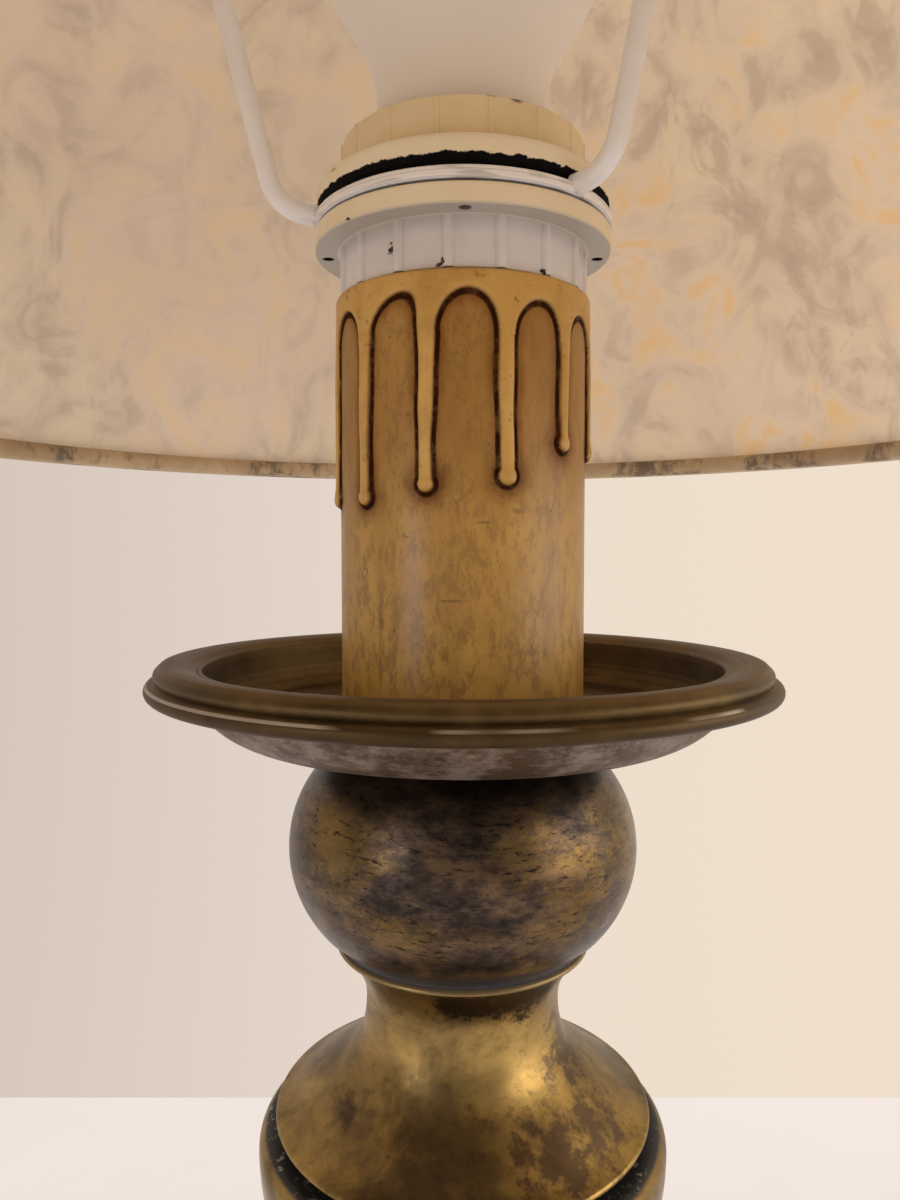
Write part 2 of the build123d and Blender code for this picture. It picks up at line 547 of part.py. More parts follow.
# ---------------------------------------------------------------- drip pan
lip = Z_PAN + PAN_LIP_H
rim_crest = Z_PAN + PAN_H
with BuildPart() as drip_pan:
    with BuildSketch(Plane.XZ) as pan_outline:
        with BuildLine():
            lip_in = PAN_R - PAN_LIP_R
            bowl_top_r = PAN_FOOT_R + PAN_BOWL_W
            bowl_top = lip - PAN_LIP_R - PAN_ROOT_GAP
            mouth = rim_crest - PAN_MOUTH_DROP
            mouth_out_r = PAN_MOUTH_R + PAN_MOUTH_EDGE
            Polyline((TUBE_HOLE_R, Z_PAN_FLOOR), (TUBE_HOLE_R, Z_PAN), (PAN_FOOT_R, Z_PAN))
            bowl_mid = (PAN_FOOT_R + PAN_BOWL_W * PAN_BOWL_MID[0], Z_PAN + (bowl_top - Z_PAN) * PAN_BOWL_MID[1])
            ThreePointArc((PAN_FOOT_R, Z_PAN), bowl_mid, (bowl_top_r, bowl_top))
            Polyline((bowl_top_r, bowl_top), (bowl_top_r + 0.6, lip - PAN_LIP_R), (lip_in, lip - PAN_LIP_R))
            ThreePointArc((lip_in, lip - PAN_LIP_R), (PAN_R, lip), (lip_in, lip + PAN_LIP_R))
            roll = lip + PAN_LIP_R + 0.2
            Line((lip_in, lip + PAN_LIP_R), (lip_in - 0.5, roll))
            Spline((lip_in - 0.5, roll), (lip_in - 0.3, roll + (rim_crest - roll) * 0.5),
                   (lip_in - 1.1, roll + (rim_crest - roll) * 0.85), (PAN_RIM_R, rim_crest),
                   tangents=[(0.5, 1), (-1, 0)])
            valley = (mouth_out_r + PAN_MOUTH_EDGE, mouth - PAN_MOUTH_EDGE / 2)
            Spline((PAN_RIM_R, rim_crest), valley, tangents=[(-1, 0), (-1, -0.75)])
            mouth_in = (PAN_MOUTH_R, mouth - PAN_MOUTH_EDGE)
            ThreePointArc(valley, (mouth_out_r, mouth), mouth_in)
            wall_mid = (PAN_FLOOR_R + PAN_WALL_MID[0], Z_PAN_FLOOR + (mouth - Z_PAN_FLOOR) * PAN_WALL_MID[1])
            Spline(mouth_in, wall_mid, (PAN_FLOOR_R, Z_PAN_FLOOR), tangents=[(-0.1, -1), (-1, -0.25)])
            Line((PAN_FLOOR_R, Z_PAN_FLOOR), (TUBE_HOLE_R, Z_PAN_FLOOR))
        make_face()
    revolve(axis=Axis.Z)
drip_pan.part.label = "drip_pan"
export_step(drip_pan.part, "parts/drip_pan.step")

# ---------------------------------------------------------------- imitation candle
cup_r = CANDLE_BORE_R - RUN_GAP
with BuildPart() as sleeve_cup:
    turn((TUBE_HOLE_R, Z_PAN_FLOOR), (cup_r, Z_PAN_FLOOR), (cup_r, Z_PAN_FLOOR + SEAT_CUP_H),
         (cup_r - SEAT_CUP_T, Z_PAN_FLOOR + SEAT_CUP_H), (cup_r - SEAT_CUP_T, Z_PAN_FLOOR + SEAT_CUP_T),
         (TUBE_HOLE_R, Z_PAN_FLOOR + SEAT_CUP_T))
sleeve_cup.part.label = "sleeve_cup"
export_step(sleeve_cup.part, "parts/sleeve_cup.step")

with BuildPart() as pan_washer:
    tube(WASHER_R, TUBE_HOLE_R, Z_PAN_FLOOR + SEAT_CUP_T, Z_PAN_FLOOR + SEAT_CUP_T + WASHER_T)
pan_washer.part.label = "pan_washer"
export_step(pan_washer.part, "parts/pan_washer.step")

with BuildPart() as pan_nut:
    hex_nut(Z_PAN_FLOOR + SEAT_CUP_T + WASHER_T)
pan_nut.part.label = "pan_nut"
export_step(pan_nut.part, "parts/pan_nut.step")


def chord(turn_a, turn_b, radius=WAX_R):
    """Straight distance between two drips on the wax surface."""
    return 2 * radius * sin(radians(abs(turn_b - turn_a)) / 2)


drips = list(zip(DRIP_TURNS, DRIP_DROPS))
arch_top = Z_CANDLE_TOP - WAX_BAND_H
with BuildPart() as candle_sleeve:
    tube(WAX_R, CANDLE_R - CANDLE_WALL / 2, arch_top - WAX_SKIRT_H, Z_CANDLE_TOP)
    for (turn_a, _), (turn_b, _) in zip(drips, drips[1:] + [(DRIP_TURNS[0] + 360, 0)]):
        window_w = chord(turn_a, turn_b) - DRIP_W
        window_plane = Plane(facing((turn_a + turn_b) / 2).origin,
                             x_dir=facing((turn_a + turn_b) / 2 + 90).x_dir,
                             z_dir=facing((turn_a + turn_b) / 2).x_dir)
        with BuildSketch(window_plane) as arch:
            with Locations((0, arch_top - window_w / 2)):
                Circle(window_w / 2)
            with Locations((0, arch_top - window_w / 2)):
                Rectangle(window_w, WINDOW_H, align=(Align.CENTER, Align.MAX))
        extrude(arch.sketch, amount=WAX_R * 1.2, mode=Mode.SUBTRACT)
    tube(CANDLE_R, CANDLE_BORE_R, Z_PAN_FLOOR, Z_CANDLE_TOP)
    for drip_turn, drip_drop in drips:
        drip_end = Z_CANDLE_TOP - drip_drop
        with BuildSketch(Plane.XY.offset(drip_end + DRIP_BLOB_R)) as drip_row:
            with PolarLocations(WAX_R - DRIP_HALF_DEPTH, 1, start_angle=drip_turn - 90):
                Ellipse(DRIP_HALF_DEPTH, DRIP_W / 2)
        extrude(drip_row.sketch, amount=arch_top - DRIP_ROOT - drip_end - DRIP_BLOB_R)
        blob_at = facing(drip_turn).x_dir * (WAX_R - BLOB_SINK)
        with Locations((blob_at.X, blob_at.Y, drip_end + DRIP_BLOB_R)):
            Sphere(DRIP_BLOB_R)
    tube(CANDLE_BORE_R, 0, Z_PAN_FLOOR - 1, Z_CANDLE_TOP + 1, mode=Mode.SUBTRACT)
candle_sleeve.part.label = "candle_sleeve"
export_step(candle_sleeve.part, "parts/candle_sleeve.step")

# ---------------------------------------------------------------- lampholder
spigot_r = HOLDER_BODY_R - HOLDER_WALL - SKIN
with BuildPart() as holder_cap:
    dome_top = Z_BLOCK - CAP_SPIGOT_H
    dome_low = dome_top - CAP_SHOULDER_DROP
    with BuildSketch(Plane.XZ) as cap_outline:
        with BuildLine():
            in_r = spigot_r - HOLDER_WALL
            Polyline((in_r, dome_top), (in_r, Z_BLOCK), (spigot_r, Z_BLOCK), (spigot_r, Z_HOLDER_SKIRT),
                     (HOLDER_BODY_R, Z_HOLDER_SKIRT), (HOLDER_BODY_R, dome_low))
            ThreePointArc((HOLDER_BODY_R, dome_low), (HOLDER_BODY_R - CAP_DOME_IN, Z_CAP + CAP_DOME_UP),
                          (CAP_BOSS_R, Z_CAP + CAP_BOSS_FOOT_H))
            Polyline((CAP_BOSS_R, Z_CAP + CAP_BOSS_FOOT_H), (CAP_BOSS_R, Z_CAP), (TUBE_HOLE_R, Z_CAP),
                     (TUBE_HOLE_R, Z_CAP + CAP_BOSS_H), (CAP_BOSS_R, Z_CAP + CAP_BOSS_H),
                     (in_r, dome_top))
        make_face()
    revolve(axis=Axis.Z)
    grub_plane = Plane(origin=(TUBE_R + SKIN, 0, Z_CAP + CAP_BOSS_H / 2), z_dir=(1, 0, 0))
    with BuildSketch(grub_plane) as grub_hole:
        Circle(GRUB_R + SKIN)
    extrude(grub_hole.sketch, amount=HOLDER_BODY_R, mode=Mode.SUBTRACT)
holder_cap.part.label = "holder_cap"
export_step(holder_cap.part, "parts/holder_cap.step")

with BuildPart() as grub_screw:
    with BuildSketch(grub_plane) as grub_round:
        Circle(GRUB_R)
    extrude(grub_round.sketch, amount=GRUB_L)
    with BuildSketch(grub_plane.offset(GRUB_L - SCREW_SLOT_DEPTH)) as grub_slot:
        Rectangle(SCREW_SLOT_W, GRUB_R * 3)
    extrude(grub_slot.sketch, amount=SCREW_SLOT_DEPTH, mode=Mode.SUBTRACT)
grub_screw.part.label = "grub_screw"
export_step(grub_screw.part, "parts/grub_screw.step")

well_r = CAP_THREAD_R + RUN_GAP + SHELL_T * 2
with BuildPart() as holder_shell:
    turn((well_r, Z_BLOCK_TOP + SKIN), (HOLDER_BODY_R - HOLDER_WALL, Z_BLOCK_TOP + SKIN),
         (HOLDER_BODY_R - HOLDER_WALL, Z_HOLDER_SKIRT + SKIN), (HOLDER_BODY_R, Z_HOLDER_SKIRT + SKIN),
         (HOLDER_BODY_R, Z_HOLDER_THREAD), (HOLDER_THREAD_R, Z_HOLDER_THREAD + HOLDER_THREAD_STEP),
         (HOLDER_THREAD_R, Z_HOLDER_RIM - HOLDER_EDGE), (HOLDER_THREAD_R - HOLDER_EDGE, Z_HOLDER_RIM),
         (HOLDER_MOUTH_R, Z_HOLDER_RIM), (HOLDER_MOUTH_R, Z_HOLDER_RIM - HOLDER_LIP_T),
         (well_r, Z_HOLDER_RIM - HOLDER_LIP_T))
    groove_count = int((HOLDER_THREAD_H - THREAD_START - HOLDER_EDGE) / HOLDER_THREAD_PITCH)
    half = HOLDER_THREAD_PITCH * THREAD_GROOVE_SHARE
    for row in range(groove_count):
        root = Z_HOLDER_THREAD + THREAD_START + (row + 0.5) * HOLDER_THREAD_PITCH
        turn((HOLDER_THREAD_R + SKIN, root - half), (HOLDER_THREAD_R + SKIN, root + half),
             (HOLDER_THREAD_R - HOLDER_THREAD_DEPTH, root), mode=Mode.SUBTRACT)
holder_shell.part.label = "holder_shell"
export_step(holder_shell.part, "parts/holder_shell.step")

terminals = [(-TERMINAL_X, 0), (TERMINAL_X, 0)]
with BuildPart() as terminal_block:
    tube(spigot_r, TUBE_BORE_R / 2, Z_BLOCK, Z_BLOCK_TOP)
    with BuildSketch(Plane.XY.offset(Z_BLOCK)) as terminal_holes:
        with Locations(*terminals):
            Circle(GRUB_R + SKIN)
    extrude(terminal_holes.sketch, amount=BLOCK_T, mode=Mode.SUBTRACT)
terminal_block.part.label = "terminal_block"
export_step(terminal_block.part, "parts/terminal_block.step")

with BuildPart() as terminal_screws:
    with BuildSketch(Plane.XY.offset(Z_BLOCK - SCREW_HEAD_H)) as screw_heads:
        with Locations(*terminals):
            Circle(TERMINAL_R)
    extrude(screw_heads.sketch, amount=SCREW_HEAD_H)
    with BuildSketch(Plane.XY.offset(Z_BLOCK)) as screw_shanks:
        with Locations(*terminals):
            Circle(GRUB_R)
    extrude(screw_shanks.sketch, amount=BLOCK_T)
    with BuildSketch(Plane.XY.offset(Z_BLOCK - SCREW_HEAD_H)) as screw_slots:
        with Locations(*terminals):
            Rectangle(TERMINAL_R * 3, SCREW_SLOT_W)
    extrude(screw_slots.sketch, amount=SCREW_SLOT_DEPTH, mode=Mode.SUBTRACT)
terminal_screws.part.label = "terminal_screws"
export_step(terminal_screws.part, "parts/terminal_screws.step")

with BuildPart() as centre_contact:
    with BuildSketch(Plane.XZ) as contact_side:
        with BuildLine():
            leaf_low = Z_BLOCK_TOP + CONTACT_H - CONTACT_T
            leaf_end = CAP_PIP_R * 0.6
            pad_low, pad_high = -TERMINAL_X - CONTACT_PAD, -TERMINAL_X + CONTACT_PAD
            Polyline((pad_low, Z_BLOCK_TOP), (pad_high, Z_BLOCK_TOP), (-CAP_PIP_R, leaf_low),
                     (leaf_end, leaf_low), (leaf_end, leaf_low + CONTACT_T), (-CAP_PIP_R, leaf_low + CONTACT_T),
                     (pad_high - CONTACT_T, Z_BLOCK_TOP + CONTACT_T), (pad_low, Z_BLOCK_TOP + CONTACT_T),
                     close=True)
        make_face()
    extrude(amount=CONTACT_W / 2, both=True)
centre_contact.part.label = "centre_contact"
export_step(centre_contact.part, "parts/centre_contact.step")

with BuildPart() as side_contact:
    with BuildSketch(Plane.XZ) as side_profile:
        with BuildLine():
            out_r = CAP_THREAD_R
            tab_top = Z_CAP_CONE + CONTACT_PAD / 2
            Polyline((TERMINAL_X - CONTACT_PAD, Z_BLOCK_TOP), (out_r, Z_BLOCK_TOP), (out_r, tab_top),
                     (out_r - CONTACT_T, tab_top), (out_r - CONTACT_T, Z_BLOCK_TOP + CONTACT_T),
                     (TERMINAL_X - CONTACT_PAD, Z_BLOCK_TOP + CONTACT_T), close=True)
        make_face()
    extrude(amount=CONTACT_W / 2, both=True)
side_contact.part.label = "side_contact"
export_step(side_contact.part, "parts/side_contact.step")

with BuildPart() as screw_shell:
    shell_in = CAP_THREAD_R + RUN_GAP
    shell_out = well_r - SKIN
    shell_low = Z_BLOCK_TOP + SKIN
    shell_high = Z_HOLDER_RIM - HOLDER_LIP_T - SKIN
    tube(shell_out, shell_in, shell_low, shell_high)
    half_open, half_root = CAP_THREAD_PITCH * 0.3, CAP_THREAD_PITCH * 0.1
    for row in range(int((shell_high - shell_low - SHELL_END_H) / CAP_THREAD_PITCH)):
        root = shell_low + SHELL_END_H + (row + 0.5) * CAP_THREAD_PITCH
        turn((shell_in - SKIN, root - half_open), (shell_in + SHELL_T, root - half_root),
             (shell_in + SHELL_T, root + half_root), (shell_in - SKIN, root + half_open), mode=Mode.SUBTRACT)
screw_shell.part.label = "screw_shell"
export_step(screw_shell.part, "parts/screw_shell.step")

# ---------------------------------------------------------------- screw rings that hold the shade
with BuildPart() as lower_ring:
    flange_top = Z_LOWER_FLANGE + LOWER_FLANGE_H
    tube(LOWER_HUB_R, RING_BORE_R, Z_LOWER_RING, Z_LOWER_FLANGE)
    with BuildSketch(Plane.XZ) as lower_flange:
        with BuildLine():
            edge = LOWER_FLANGE_R
            Polyline((RING_BORE_R, Z_LOWER_FLANGE), (edge - RING_BEVEL, Z_LOWER_FLANGE),
                     (edge, Z_LOWER_FLANGE + RING_BEVEL), (edge, flange_top - RING_EDGE))
            RadiusArc((edge, flange_top - RING_EDGE), (edge - RING_EDGE, flange_top), -RING_EDGE)
            Polyline((edge - RING_EDGE, flange_top), (RING_BORE_R, flange_top), (RING_BORE_R, Z_LOWER_FLANGE))
        make_face()
    revolve(lower_flange.sketch, axis=Axis.Z)
    with BuildSketch(Plane.XY.offset(Z_LOWER_RING)) as lower_ribs:
        with PolarLocations(LOWER_HUB_R - RIB_SINK, RIB_COUNT, start_angle=RIB_TURN - 90):
            Circle(RIB_R)
    extrude(lower_ribs.sketch, amount=LOWER_HUB_H)
    with BuildSketch(Plane.XY.offset(Z_LOWER_FLANGE)) as spanner_holes:
        with PolarLocations(LOWER_FLANGE_R - SPANNER_HOLE_INSET, 4):
            Circle(SPANNER_HOLE_R)
    extrude(spanner_holes.sketch, amount=SPANNER_HOLE_DEPTH, mode=Mode.SUBTRACT)
    tube(RING_BORE_R, 0, Z_LOWER_RING, flange_top, mode=Mode.SUBTRACT)
lower_ring.part.label = "lower_ring"
export_step(lower_ring.part, "parts/lower_ring.step")

with BuildPart() as upper_ring:
    hub_top = Z_UPPER_HUB + UPPER_HUB_H
    with BuildSketch(Plane.XZ) as upper_outline:
        with BuildLine():
            edge = UPPER_FLANGE_R
            Polyline((RING_BORE_R, hub_top), (RING_BORE_R, Z_UPPER_RING),
                     (edge - UPPER_CHAMFER_W, Z_UPPER_RING), (edge, Z_UPPER_FLANGE),
                     (edge, Z_UPPER_HUB - UPPER_EDGE_R))
            RadiusArc((edge, Z_UPPER_HUB - UPPER_EDGE_R), (edge - UPPER_EDGE_R, Z_UPPER_HUB), -UPPER_EDGE_R)
            Polyline((edge - UPPER_EDGE_R, Z_UPPER_HUB), (UPPER_HUB_R, Z_UPPER_HUB + UPPER_LIP),
                     (UPPER_HUB_R, hub_top - UPPER_LIP), (UPPER_HUB_R - UPPER_LIP, hub_top),
                     (RING_BORE_R, hub_top))
        make_face()
    revolve(axis=Axis.Z)
    with BuildSketch(Plane.XY.offset(Z_UPPER_HUB)) as upper_ribs:
        with PolarLocations(UPPER_HUB_R - UPPER_RIB_SINK, RIB_COUNT, start_angle=UPPER_RIB_TURN - 90):
            Circle(UPPER_RIB_R)
    extrude(upper_ribs.sketch, amount=UPPER_HUB_H - UPPER_LIP)
upper_ring.part.label = "upper_ring"
export_step(upper_ring.part, "parts/upper_ring.step")

# ---------------------------------------------------------------- shade
with BuildPart() as shade_ring:
    tube(SHADE_RING_R, RING_BORE_R + RUN_GAP, Z_SHADE_RING, Z_SHADE_RING + SHADE_RING_H)
    fillet(shade_ring.edges().filter_by(GeomType.CIRCLE).group_by(SortBy.RADIUS)[-1], radius=SHADE_RING_EDGE)
shade_ring.part.label = "shade_ring"
export_step(shade_ring.part, "parts/shade_ring.step")

slope = (SHADE_R - SHADE_TOP_R) / SHADE_H
slant = sqrt(1 + slope ** 2)


def shade_r(height):
    """Radius of the shade's outer face at a height."""
    return SHADE_R - (height - Z_SHADE) * slope


panel_low = Z_SHADE + TRIM_T
panel_high = Z_SHADE_TOP - TRIM_T
panel_wall = PANEL_T * slant
with BuildPart() as shade_panel:
    turn((shade_r(panel_low), panel_low), (shade_r(panel_high), panel_high),
         (shade_r(panel_high) - panel_wall, panel_high), (shade_r(panel_low) - panel_wall, panel_low))
shade_panel.part.label = "shade_panel"
export_step(shade_panel.part, "parts/shade_panel.step")

hoop_in = panel_wall + (WIRE_R + SKIN / 2) * slant
hoops = {"shade_bottom_hoop": Z_SHADE + TRIM_T + WIRE_R, "shade_top_hoop": Z_SHADE_TOP - TRIM_T - WIRE_R}
for hoop_name, hoop_z in hoops.items():
    with BuildPart() as hoop:
        with BuildSketch(Plane.XZ):
            with Locations((shade_r(hoop_z) - hoop_in, hoop_z)):
                Circle(WIRE_R)
        revolve(axis=Axis.Z)
    hoop.part.label = hoop_name
    export_step(hoop.part, f"parts/{hoop_name}.step")

arm_top = hoops["shade_top_hoop"]
arm_top_r = shade_r(arm_top) - hoop_in - WIRE_R * 2
arm_low = Z_SHADE_RING + SHADE_RING_H - ARM_SINK
arm_wires = []
with BuildPart() as shade_arms:
    for arm in range(ARM_COUNT):
        arm_plane = facing(ARM_FIRST_TURN + arm * 360 / ARM_COUNT)
        with BuildLine(arm_plane) as arm_line:
            FilletPolyline((ARM_ROOT_R, arm_low), (ARM_KNEE_R, arm_low), (arm_top_r, arm_top),
                           radius=ARM_BEND_R)
        arm_wires.append(arm_line.line)
        with BuildSketch(Plane(origin=arm_line.line @ 0, z_dir=arm_line.line % 0)) as arm_round:
            Circle(WIRE_R)
        sweep(arm_round.sketch, path=arm_line.line)
    tube(SHADE_RING_R, RING_BORE_R, Z_SHADE_RING, Z_SHADE_RING + SHADE_RING_H, mode=Mode.SUBTRACT)
shade_arms.part.label = "shade_arms"
export_step(shade_arms.part, "parts/shade_arms.step")

# Each hem is one strip: up the panel's outer face, under its edge and round the wire hoop.
trim_wall = TRIM_T * slant
hems = {"shade_bottom_trim": (Z_SHADE, 1, "shade_bottom_hoop"),
        "shade_top_trim": (Z_SHADE_TOP, -1, "shade_top_hoop")}
for trim_name, (edge_z, way, hoop_name) in hems.items():
    fold = edge_z + way * TRIM_T
    end = edge_z + way * TRIM_H
    hoop_r = shade_r(hoops[hoop_name]) - hoop_in
    with BuildPart() as trim:
        with BuildSketch(Plane.XZ) as hem:
            with BuildLine():
                Polyline((shade_r(edge_z) + trim_wall, edge_z), (shade_r(end) + trim_wall, end),
                         (shade_r(end), end), (shade_r(fold), fold), (hoop_r, fold), (hoop_r, edge_z),
                         close=True)
            make_face()
            with Locations((hoop_r, hoops[hoop_name])):
                Circle(WIRE_R + TRIM_T)
                Circle(WIRE_R + HEM_CLEAR, mode=Mode.SUBTRACT)
            with BuildLine():
                Polyline((shade_r(panel_low), panel_low), (shade_r(panel_high), panel_high),
                         (shade_r(panel_high) - panel_wall, panel_high),
                         (shade_r(panel_low) - panel_wall, panel_low), close=True)
            make_face(mode=Mode.SUBTRACT)
        revolve(hem.sketch, axis=Axis.Z)
        if way < 0:
            for wire in arm_wires:
                with BuildSketch(Plane(origin=wire @ 1 + wire % 1 * SKIN, z_dir=-(wire % 1))) as notch:
                    Circle(WIRE_R + SKIN)
                extrude(notch.sketch, amount=TRIM_H, mode=Mode.SUBTRACT)
    trim.part.label = trim_name
    export_step(trim.part, f"parts/{trim_name}.step")

# ---------------------------------------------------------------- bulb
cap_in = CAP_THREAD_R - CAP_THREAD_DEPTH - CAP_SHELL_T
with BuildPart() as bulb_cap:
    crest_rows = []
    for row in range(CAP_THREAD_TURNS):
        foot_z = Z_CAP_CONE + CAP_THREAD_PITCH * (row + 0.6)
        crest_rows += [(CAP_THREAD_R - CAP_THREAD_DEPTH, foot_z),
                       (CAP_THREAD_R - CAP_CREST_STEP, foot_z + CAP_THREAD_PITCH * 0.3),
                       (CAP_THREAD_R, foot_z + CAP_THREAD_PITCH * 0.5),
                       (CAP_THREAD_R - CAP_CREST_STEP, foot_z + CAP_THREAD_PITCH * 0.7)]
    neck_z = Z_BULB - CAP_LAND_H
    turn((cap_in, Z_CAP_CONE), (CAP_THREAD_R - CAP_THREAD_DEPTH, Z_CAP_CONE), *crest_rows,
         (CAP_THREAD_R - CAP_THREAD_DEPTH, neck_z - CAP_THREAD_PITCH * 0.5), (CAP_THREAD_R, neck_z),
         (CAP_THREAD_R, Z_BULB), (cap_in, Z_BULB))
bulb_cap.part.label = "bulb_cap"
export_step(bulb_cap.part, "parts/bulb_cap.step")

with BuildPart() as bulb_insulator:
    turn((0, Z_CAP_CONE - CAP_CONE_H), (CAP_CONE_R, Z_CAP_CONE - CAP_CONE_H),
         (cap_in + CAP_SHELL_T / 2, Z_CAP_CONE), (cap_in, Z_CAP_CONE), (cap_in, Z_CAP_CONE + CAP_LAND_H),
         (0, Z_CAP_CONE + CAP_LAND_H))
bulb_insulator.part.label = "bulb_insulator"
export_step(bulb_insulator.part, "parts/bulb_insulator.step")

with BuildPart() as bulb_contact:
    tube(CAP_PIP_R, 0, Z_PIP, Z_PIP + CAP_PIP_H)
    fillet(bulb_contact.edges().group_by(Axis.Z)[0], radius=CAP_PIP_H * 0.5)
bulb_contact.part.label = "bulb_contact"
export_step(bulb_contact.part, "parts/bulb_contact.step")

Z_BULB_TOP = Z_BULB + BULB_L
bulb_mid = Z_BULB_TOP - BULB_R
Z_BULB_SPLIT = Z_BULB + BULB_SPLIT
shoulder_z = Z_BULB + BULB_NECK_H
split_r = sqrt(BULB_R ** 2 - (Z_BULB_SPLIT - bulb_mid) ** 2)


def bulb_side(thickness):
    """Points up the housing's side from its shoulder to the seam, less a wall."""
    swell_r = split_r - BULB_NECK_R
    swell_h = Z_BULB_SPLIT - shoulder_z
    return [(BULB_NECK_R + swell_r * a - thickness, shoulder_z + swell_h * b) for a, b in BULB_CURVE]


with BuildPart() as bulb_housing:
    outside = bulb_side(0)
    inside = bulb_side(BULB_WALL)
    top_slope = (bulb_mid - Z_BULB_SPLIT, split_r)
    with BuildSketch(Plane.XZ) as housing_outline:
        with BuildLine():
            Polyline((cap_in, Z_BULB + BULB_WALL), (cap_in, Z_BULB), (BULB_NECK_R - BULB_NECK_BEVEL_W, Z_BULB),
                     (BULB_NECK_R, Z_BULB + BULB_NECK_BEVEL_H), outside[0])
            Spline(*outside, tangents=[(0, 1), top_slope])
            Line(outside[-1], inside[-1])
            Spline(*inside[::-1], tangents=[(-top_slope[0], -top_slope[1]), (0, -1)])
            Polyline(inside[0], (BULB_NECK_R - BULB_WALL, Z_BULB + BULB_WALL), (cap_in, Z_BULB + BULB_WALL))
        make_face()
    revolve(axis=Axis.Z)
bulb_housing.part.label = "bulb_housing"
export_step(bulb_housing.part, "parts/bulb_housing.step")

with BuildPart() as bulb_globe:
    with BuildSketch(Plane.XZ) as globe_outline:
        with BuildLine():
            in_r = BULB_R - BULB_WALL
            split_in_r = sqrt(in_r ** 2 - (Z_BULB_SPLIT - bulb_mid) ** 2)
            aside = sin(radians(45))
            ThreePointArc((split_r, Z_BULB_SPLIT), (BULB_R * aside, bulb_mid + BULB_R * aside), (0, Z_BULB_TOP))
            Line((0, Z_BULB_TOP), (0, Z_BULB_TOP - BULB_WALL))
            ThreePointArc((0, Z_BULB_TOP - BULB_WALL), (in_r * aside, bulb_mid + in_r * aside),
                          (split_in_r, Z_BULB_SPLIT))
            Line((split_in_r, Z_BULB_SPLIT), (split_r, Z_BULB_SPLIT))
        make_face()
    revolve(axis=Axis.Z)
bulb_globe.part.label = "bulb_globe"
export_step(bulb_globe.part, "parts/bulb_globe.step")

with BuildPart() as led_board:
    board_r = split_r - BULB_WALL - BOARD_GAP
    board_z = Z_BULB_SPLIT - BOARD_T - BOARD_DROP
    tube(board_r, 0, board_z, board_z + BOARD_T)
    with BuildSketch(Plane.XY.offset(board_z + BOARD_T)) as chips:
        with PolarLocations(board_r * CHIP_RING_SHARE, CHIP_COUNT):
            Rectangle(CHIP_W, CHIP_L)
    extrude(chips.sketch, amount=CHIP_T)
led_board.part.label = "led_board"
export_step(led_board.part, "parts/led_board.step")
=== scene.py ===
# %% [markdown]
# # A turned brass candlestick lamp
# This notebook dresses a CAD model of a table lamp: a brass column, a bronze drip pan, an imitation
# candle, two ribbed screw rings, a wire carrier, a marbled paper shade and a white bulb. The CAD
# gives every piece its true size, in metres, and stays as it is. What changes here is the finish of
# each piece, and the shape of the one that no lathe or press made: the candle with its drips.

# %% Load the CAD model
from collections import namedtuple
from math import atan2, degrees, exp, hypot, pi, radians, sin, sqrt

import bmesh
import bpy
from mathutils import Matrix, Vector, noise


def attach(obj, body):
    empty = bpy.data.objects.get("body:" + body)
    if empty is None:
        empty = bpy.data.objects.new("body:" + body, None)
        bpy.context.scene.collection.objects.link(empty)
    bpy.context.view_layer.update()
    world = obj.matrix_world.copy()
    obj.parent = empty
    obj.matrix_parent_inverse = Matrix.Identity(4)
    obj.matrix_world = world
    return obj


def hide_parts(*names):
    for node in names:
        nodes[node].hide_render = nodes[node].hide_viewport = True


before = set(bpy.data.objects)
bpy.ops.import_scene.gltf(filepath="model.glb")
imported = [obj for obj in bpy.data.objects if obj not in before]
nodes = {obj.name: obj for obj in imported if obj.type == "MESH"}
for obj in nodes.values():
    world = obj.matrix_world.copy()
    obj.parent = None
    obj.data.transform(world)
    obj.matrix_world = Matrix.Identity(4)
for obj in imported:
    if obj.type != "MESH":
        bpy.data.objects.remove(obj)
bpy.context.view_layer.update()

# %% [markdown]
# ## The camera
# The photograph was taken with a phone held close to the candle, a little below the shade, so its
# view is wide: 16 cm from the lamp's axis, tilted down by three degrees. A wide lens close up is
# what makes the pan look deep and shows the inside of the shade's far wall.

# %% Camera
CAMERA_PLACE, TILT_DOWN = (-0.00225, -0.160, 0.280), 2.98
camera_data = bpy.data.cameras.new("camera")
camera_data.lens = 26.82
camera_data.sensor_width = 36.0
camera_data.clip_start = 0.005
camera = bpy.data.objects.new("camera", camera_data)
camera.location = CAMERA_PLACE
camera.rotation_euler = (radians(90 - TILT_DOWN), 0, 0)
bpy.context.scene.collection.objects.link(camera)
bpy.context.scene.camera = camera
bpy.context.scene.view_settings.view_transform = "Standard"
print("camera at", CAMERA_PLACE, "lens", round(camera_data.lens, 2))

# %% [markdown]
# ## A small kit for finishes
# Most real finishes are two or three layers: a base colour, something that age put on it, and a
# fine grain that the light catches. Wiring keeps the node work short, and Finish is one material.
# The patterns on the lamp read Object coordinates, which here are metres on the lamp, so a scale of
# 200 means features of about 5 mm. Marks that sit at one place on the real lamp are given that
# place in millimetres. Colours are written as on a paint chart.

# %% Finish helpers
MM_PER_M = 1000
NOISE_LOW, NOISE_HIGH = 0.3, 0.7  # nearly all of a noise lies between these
MIX_SHARE, MIX_FIRST, MIX_SECOND, MIX_RESULT = 0, 6, 7, 2  # the Mix node's sockets for colours


def rgb(hexed):
    """A colour of the paint chart as linear light, by the sRGB curve."""
    parts = [int(hexed[i:i + 2], 16) / 255 for i in (0, 2, 4)]
    return tuple(c / 12.92 if c < 0.04045 else ((c + 0.055) / 1.055) ** 2.4 for c in parts) + (1.0,)


